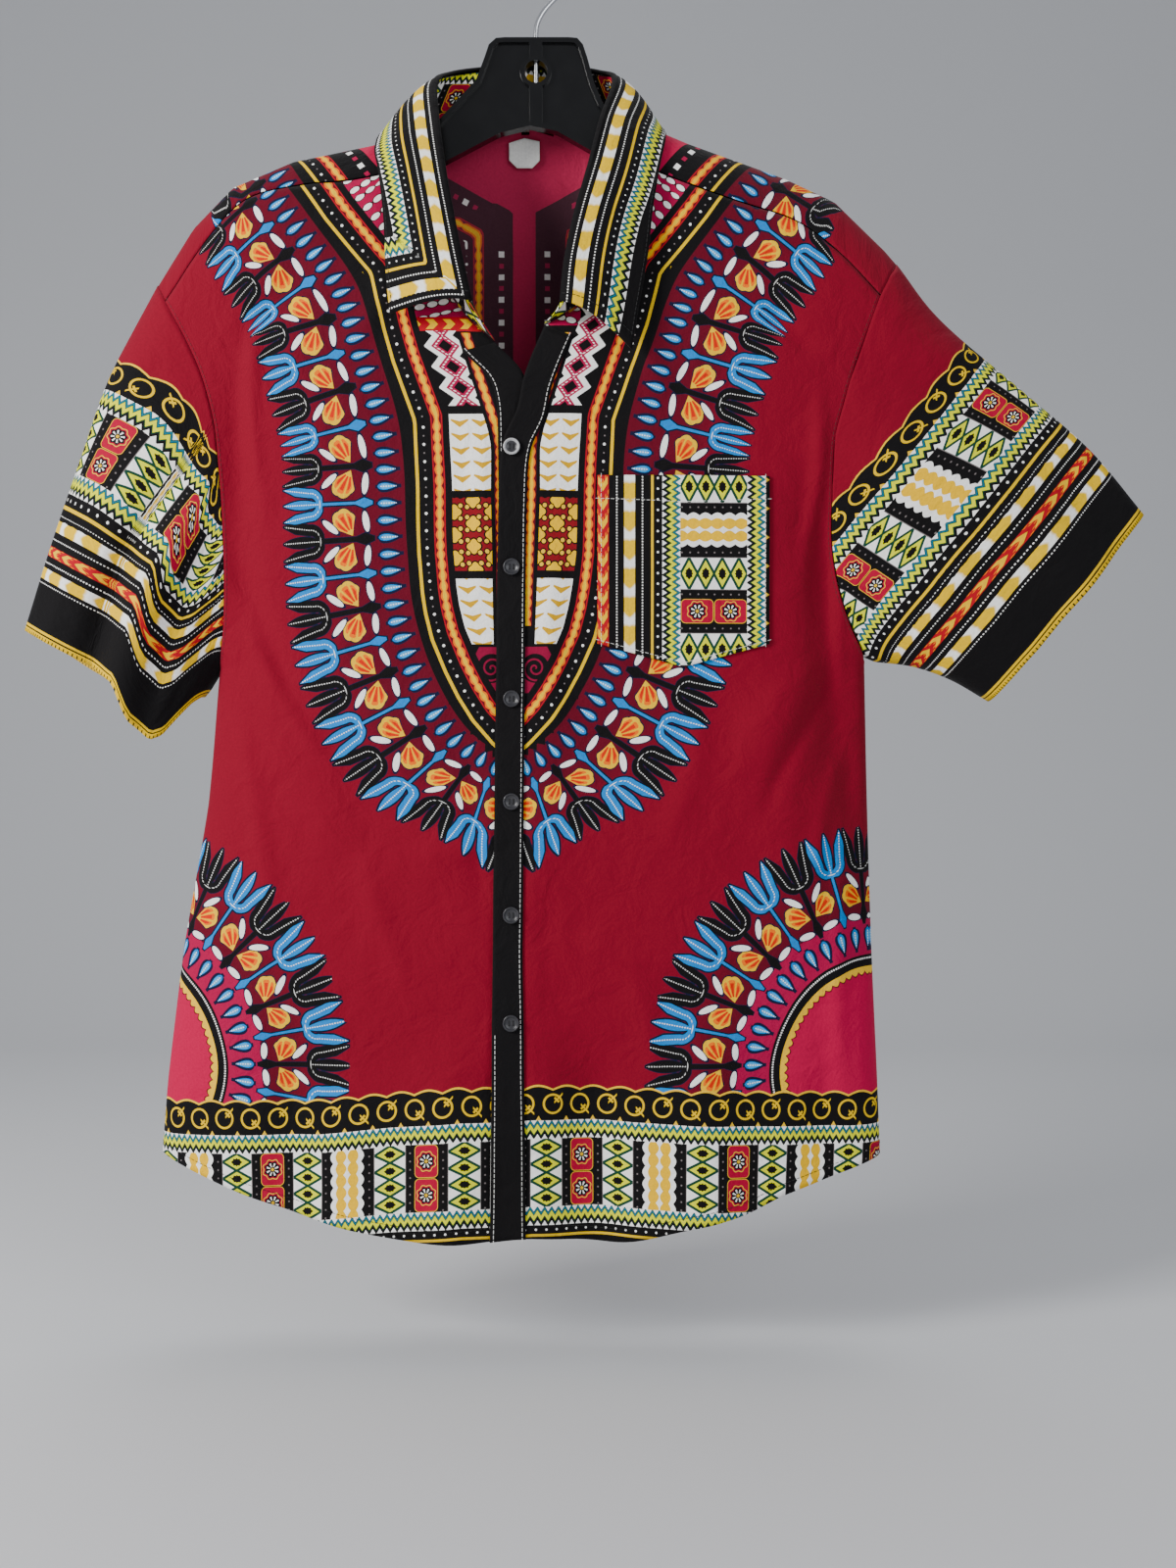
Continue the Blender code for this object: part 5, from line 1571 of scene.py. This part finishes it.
def grained(name, colour, rough, metallic=0.0):
    """A plain material whose polish varies in a fine grain."""
    made = bpy.data.materials.new(name)
    made.use_nodes = True
    nodes, links = made.node_tree.nodes, made.node_tree.links
    surface = nodes["Principled BSDF"]
    surface.inputs["Base Color"].default_value = colour
    surface.inputs["Metallic"].default_value = metallic
    place = nodes.new("ShaderNodeTexCoord")
    grain = nodes.new("ShaderNodeTexNoise")
    grain.inputs["Scale"].default_value = 90
    grain.inputs["Detail"].default_value = 3
    links.new(place.outputs["Object"], grain.inputs["Vector"])
    level = nodes.new("ShaderNodeMapRange")
    level.inputs["To Min"].default_value = rough - 0.06
    level.inputs["To Max"].default_value = rough + 0.06
    links.new(grain.outputs["Fac"], level.inputs["Value"])
    links.new(level.outputs["Result"], surface.inputs["Roughness"])
    return made


DARK_RESIN = grained("dark resin", ink(46, 46, 50), 0.3)
PALE_RESIN = grained("pale resin", ink(176, 176, 178), 0.28)
THREAD_BLACK = grained("black thread", ink(12, 12, 14), 0.7)


def lathe(shape, profile, place, sides, slot=0, dish=0):
    """A turned form round the Y axis, its profile in millimetres out and forward."""
    rings = []
    for radius, forward in profile:
        count = 1 if radius == 0 else sides
        turns = [2 * math.pi * i / sides for i in range(count)]
        steps = [Vector((radius * math.cos(t), -forward, radius * math.sin(t))) * MM for t in turns]
        rings.append([shape.verts.new(place + step) for step in steps])
    for level, (inner, outer) in enumerate(zip(rings, rings[1:])):
        for i in range(sides):
            corners = [inner[i % len(inner)], outer[i], outer[(i + 1) % sides], inner[(i + 1) % len(inner)]]
            corners = list(dict.fromkeys(corners))
            face = shape.faces.new(corners)
            face.material_index = dish if level == 0 else slot
            face.smooth = True


def bar(shape, low, high, slot):
    """A small block between two corners."""
    made = bmesh.ops.create_cube(shape, size=1)
    middle, size = (low + high) / 2, high - low
    for corner in made["verts"]:
        corner.co = middle + Vector([c * s for c, s in zip(corner.co, size)])
    for face in {face for corner in made["verts"] for face in corner.link_faces}:
        face.material_index = slot


for number, height in enumerate(BUTTON_HEIGHTS, 1):
    z = height * MM
    face_y = float(body_y(np.array([BUTTON_X]), np.array([z]), -1)[0] - lap_rise(z)) - 2 * CLOTH - 2 * SEAM
    place = Vector((BUTTON_X, face_y, z))
    shape = bmesh.new()
    lathe(shape, BUTTON_PROFILE, place, BUTTON_SIDES, dish=DISH_SLOT)
    for side_x in (-1, 1):
        for side_z in (-1, 1):
            hole = place + Vector((side_x, 0, side_z)) * HOLE_AT * MM
            lathe(shape, HOLE_PROFILE, hole, HOLE_SIDES, THREAD_SLOT, THREAD_SLOT)
    for side_x in (-1, 1):
        low_corner = place + (Vector((side_x * HOLE_AT, 0, 0)) + SEWN["low"]) * MM
        bar(shape, low_corner, low_corner + SEWN["size"] * MM, THREAD_SLOT)
    mesh = bpy.data.meshes.new(f"visual_button_{number}")
    shape.to_mesh(mesh)
    shape.free()
    for made in (PALE_RESIN if number == 1 else DARK_RESIN, THREAD_BLACK, DARK_RESIN):
        mesh.materials.append(made)
    piece = added(mesh.name, mesh)
    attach(piece, "root")
    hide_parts(f"button_{number}")

# Stitching
# Lockstitch rows in cotton thread: white on the plackets and the pocket, black on the collar
# and the hem, crimson round the armholes.
STITCH_LENGTH = 2.4 * MM
STITCH_STEP = 3.4 * MM
STITCH_THICK = 0.55 * MM
FINE_THREAD = 0.4 * MM
NEAR_EDGE = PLACKET_COLUMNS - 1
SHORT_ROW = 34
THREAD_WHITE = grained("white thread", ink(226, 226, 222), 0.7)
THREAD_RED = grained("crimson thread", ink(96, 6, 26), 0.7)


def stitch_tree():
    """Stitches laid end to end along a line of edges, each turned along it."""
    tree = bpy.data.node_groups.new("stitch row", "GeometryNodeTree")
    tree.interface.new_socket("Geometry", in_out="INPUT", socket_type="NodeSocketGeometry")
    for name in ("Length", "Step", "Thickness"):
        tree.interface.new_socket(name, in_out="INPUT", socket_type="NodeSocketFloat")
    tree.interface.new_socket("Thread", in_out="INPUT", socket_type="NodeSocketMaterial")
    tree.interface.new_socket("Geometry", in_out="OUTPUT", socket_type="NodeSocketGeometry")
    nodes, links = tree.nodes, tree.links
    start = nodes.new("NodeGroupInput")
    row = nodes.new("GeometryNodeMeshToCurve")
    even = nodes.new("GeometryNodeResampleCurve")
    even.mode = "LENGTH"
    turned = nodes.new("FunctionNodeAlignEulerToVector")
    turned.axis = "Z"
    tangent = nodes.new("GeometryNodeInputTangent")
    stitch = nodes.new("GeometryNodeMeshCylinder")
    stitch.inputs["Vertices"].default_value = 5
    half = nodes.new("ShaderNodeMath")
    half.operation = "MULTIPLY"
    half.inputs[1].default_value = 0.5
    placed = nodes.new("GeometryNodeInstanceOnPoints")
    real = nodes.new("GeometryNodeRealizeInstances")
    finish = nodes.new("GeometryNodeSetMaterial")
    end = nodes.new("NodeGroupOutput")
    links.new(start.outputs["Geometry"], row.inputs["Mesh"])
    links.new(row.outputs["Curve"], even.inputs["Curve"])
    links.new(start.outputs["Step"], even.inputs["Length"])
    links.new(tangent.outputs["Tangent"], turned.inputs["Vector"])
    links.new(start.outputs["Length"], stitch.inputs["Depth"])
    links.new(start.outputs["Thickness"], half.inputs[0])
    links.new(half.outputs[0], stitch.inputs["Radius"])
    links.new(even.outputs["Curve"], placed.inputs["Points"])
    links.new(stitch.outputs["Mesh"], placed.inputs["Instance"])
    links.new(turned.outputs["Rotation"], placed.inputs["Rotation"])
    links.new(placed.outputs["Instances"], real.inputs["Geometry"])
    links.new(real.outputs["Geometry"], finish.inputs["Geometry"])
    links.new(start.outputs["Thread"], finish.inputs["Material"])
    links.new(finish.outputs["Geometry"], end.inputs["Geometry"])
    return tree


STITCHES = stitch_tree()


def stitched(name, lines, thread, thick=STITCH_THICK):
    """Rows of stitches along lines of points, riding with the piece they hold."""
    mesh = bpy.data.meshes.new(name + "_rows")
    points, edges = [], []
    for path in lines:
        first = len(points)
        points += [tuple(point) for point in path]
        edges += [(i, i + 1) for i in range(first, len(points) - 1)]
    mesh.from_pydata(points, edges, [])
    rows = added(name + "_rows", mesh)
    grown = rows.modifiers.new("Stitches", "NODES")
    grown.node_group = STITCHES
    values = {"Length": STITCH_LENGTH, "Step": STITCH_STEP, "Thickness": thick, "Thread": thread}
    for item in STITCHES.interface.items_tree:
        if item.in_out == "INPUT" and item.name in values:
            grown[item.identifier] = values[item.name]
    bpy.context.view_layer.update()
    evaluated = rows.evaluated_get(bpy.context.evaluated_depsgraph_get())
    made = bpy.data.meshes.new_from_object(evaluated)
    made.name = name
    bpy.data.objects.remove(rows, do_unlink=True)
    piece = added(name, made)
    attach(piece, "root")


def lifted(grid):
    """Points just clear of a sheet's right side."""
    return grid + out_of(grid, behind(grid), False)[0] * (CLOTH + FACE_CLEAR)


placket_face, under_face = lifted(strips["right"]), lifted(strips["left"])
pocket_face = lifted(pocket)
front_faces = {side: lifted(grid) for side, grid in fronts.items()}
placket_rows = [placket_face[:, NEAR_EDGE], placket_face[:SHORT_ROW, 1]]
stitched("stitches_placket", placket_rows, THREAD_WHITE)
stitched("stitches_under_placket", [under_face[-SHORT_ROW:, NEAR_EDGE]], THREAD_WHITE)
leaf_ends = leaf_outer[1 : LEAF_ROWS + 1]
stitched(
    "stitches_collar",
    [leaf_outer[1, 2:-2], leaf_ends[:, 2], leaf_ends[:, -3]],
    THREAD_BLACK,
)
stitched(
    "stitches_pocket",
    [pocket_face[:, 1], pocket_face[:, -2], pocket_face[1], pocket_face[-7]],
    THREAD_WHITE,
    thick=FINE_THREAD,
)
stitched(
    "stitches_hem",
    [front_faces[side][2, 4:] for side in ("left", "right")],
    THREAD_BLACK,
    thick=FINE_THREAD,
)
stitched(
    "stitches_armholes",
    [front_faces[side][int(FRONT_ROWS * SIDE_SPLIT) + 2 :, -3] for side in ("left", "right")],
    THREAD_RED,
    thick=FINE_THREAD,
)

# Hanger
# Moulded black plastic with a raised rim round a recessed web, its edges softened. It lies
# inside the shirt, whose shoulders hang on its arms.
HANGER_PLASTIC = grained("hanger plastic", ink(5, 5, 6), 0.24)
hanger_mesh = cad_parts["hanger_body"].data.copy()
hanger_mesh.materials.clear()
hanger_mesh.materials.append(HANGER_PLASTIC)
hanger = added("visual_hanger_body", hanger_mesh)
shape = bmesh.new()
shape.from_mesh(hanger_mesh)
bmesh.ops.remove_doubles(shape, verts=shape.verts, dist=0.01 * MM)
bmesh.ops.dissolve_limit(shape, angle_limit=math.radians(2), verts=shape.verts, edges=shape.edges)
shape.to_mesh(hanger_mesh)
shape.free()
softer = hanger.modifiers.new("Soft edges", "BEVEL")
softer.width = 0.7 * MM
softer.segments = 2
softer.limit_method = "ANGLE"
softer.angle_limit = math.radians(50)
hanger_mesh.shade_flat()
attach(hanger, "root")
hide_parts("hanger_body")

# Hook
# Plated steel wire, bent round to an open hook, its stem let into the hanger's head.
WIRE_RADIUS = 1.8 * MM
HOOK_INSIDE = 20 * MM
HOOK_STEM = table("x z", [(0, -96.5), (0, -76), (0, -57), (1.2, -50), (5.5, -42), (12, -34.5), (18.3, -28)])
HOOK_ARC = (math.radians(-6), math.radians(205))
STEEL = grained("plated steel", (0.7, 0.71, 0.73, 1), 0.2, 1.0)
hook_points = [tuple(point) for point in soft_line(HOOK_STEM, 60)]
radius = HOOK_INSIDE + WIRE_RADIUS
for angle in np.linspace(*HOOK_ARC, 72):
    hook_points.append((radius * math.cos(angle), -HOOK_INSIDE + radius * math.sin(angle)))
wire = bpy.data.curves.new("visual_hanger_hook", "CURVE")
wire.dimensions = "3D"
wire.bevel_depth = WIRE_RADIUS
wire.bevel_resolution = 5
wire.use_fill_caps = True
spline = wire.splines.new("POLY")
spline.points.add(len(hook_points) - 1)
for corner, (x, z) in zip(spline.points, hook_points):
    corner.co = (x, 0, z, 1)
wire.materials.append(STEEL)
drawn = added("hook_wire", wire)
bpy.context.view_layer.update()
hook_mesh = bpy.data.meshes.new_from_object(drawn.evaluated_get(bpy.context.evaluated_depsgraph_get()))
bpy.data.objects.remove(drawn, do_unlink=True)
hook_mesh.shade_smooth()
hook = added("visual_hanger_hook", hook_mesh)
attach(hook, "root")
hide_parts("hanger_hook")

# Camera, light and floor
# The camera looks level at the shirt's middle. The paper floor bends up into a backdrop.
LENS_DISTANCE = 1.25
VIEW_HEIGHT = 1.104
AIM = Vector((0.0366, 0, -0.586))
FLOOR = -0.98
FLOOR_FRONT = -3.0
FLOOR_HALF = 4
BEND_FROM = 1.4
BEND = 1.2
PAPER_TOP = 3.4
camera = added("camera", bpy.data.cameras.new("camera"))
camera.location = AIM + Vector((0, -LENS_DISTANCE, 0))
camera.rotation_euler = (math.pi / 2, 0, 0)
camera.data.sensor_fit = "VERTICAL"
camera.data.angle = 2 * math.atan(VIEW_HEIGHT / 2 / LENS_DISTANCE)
scene.camera = camera


def light(name, place, aim, size, power, colour):
    lamp = added(name, bpy.data.lights.new(name, "AREA"))
    lamp.location = place
    lamp.rotation_euler = (Vector(aim) - Vector(place)).to_track_quat("-Z", "Y").to_euler()
    lamp.data.size = size
    lamp.data.energy = power
    lamp.data.color = colour


light("key", (-1.65, -1.25, 0.2), (0, 0, -0.5), 0.7, 54, (1.0, 0.985, 0.965))
light("fill", (1.2, -2.0, 0.1), (0, 0, -0.5), 1.4, 16, (0.95, 0.975, 1.0))
light("top", (0.1, 0.5, 1.2), (0, 0, -0.4), 1.4, 13, (1, 1, 1))
world = bpy.data.worlds.new("studio")
scene.world = world
world.use_nodes = True
world.node_tree.nodes["Background"].inputs["Color"].default_value = (0.9, 0.93, 1.0, 1)
world.node_tree.nodes["Background"].inputs["Strength"].default_value = 0.36
stage = bmesh.new()
turns = np.linspace(0, math.pi / 2, 32)
bend = [(BEND_FROM + BEND * math.sin(t), FLOOR + BEND * (1 - math.cos(t))) for t in turns]
profile = [(FLOOR_FRONT, FLOOR)] + bend + [(BEND_FROM + BEND, PAPER_TOP)]
rows_made = [[stage.verts.new((x, y, z)) for x in (-FLOOR_HALF, FLOOR_HALF)] for y, z in profile]
for low_row, high_row in zip(rows_made, rows_made[1:]):
    stage.faces.new((low_row[0], low_row[1], high_row[1], high_row[0]))
stage_mesh = bpy.data.meshes.new("backdrop")
stage.to_mesh(stage_mesh)
stage.free()
stage_mesh.shade_smooth()
backdrop = added("backdrop", stage_mesh)
paper = bpy.data.materials.new("backdrop paper")
paper.use_nodes = True
paper.node_tree.nodes["Principled BSDF"].inputs["Base Color"].default_value = (0.62, 0.63, 0.65, 1)
paper.node_tree.nodes["Principled BSDF"].inputs["Roughness"].default_value = 0.9
stage_mesh.materials.append(paper)
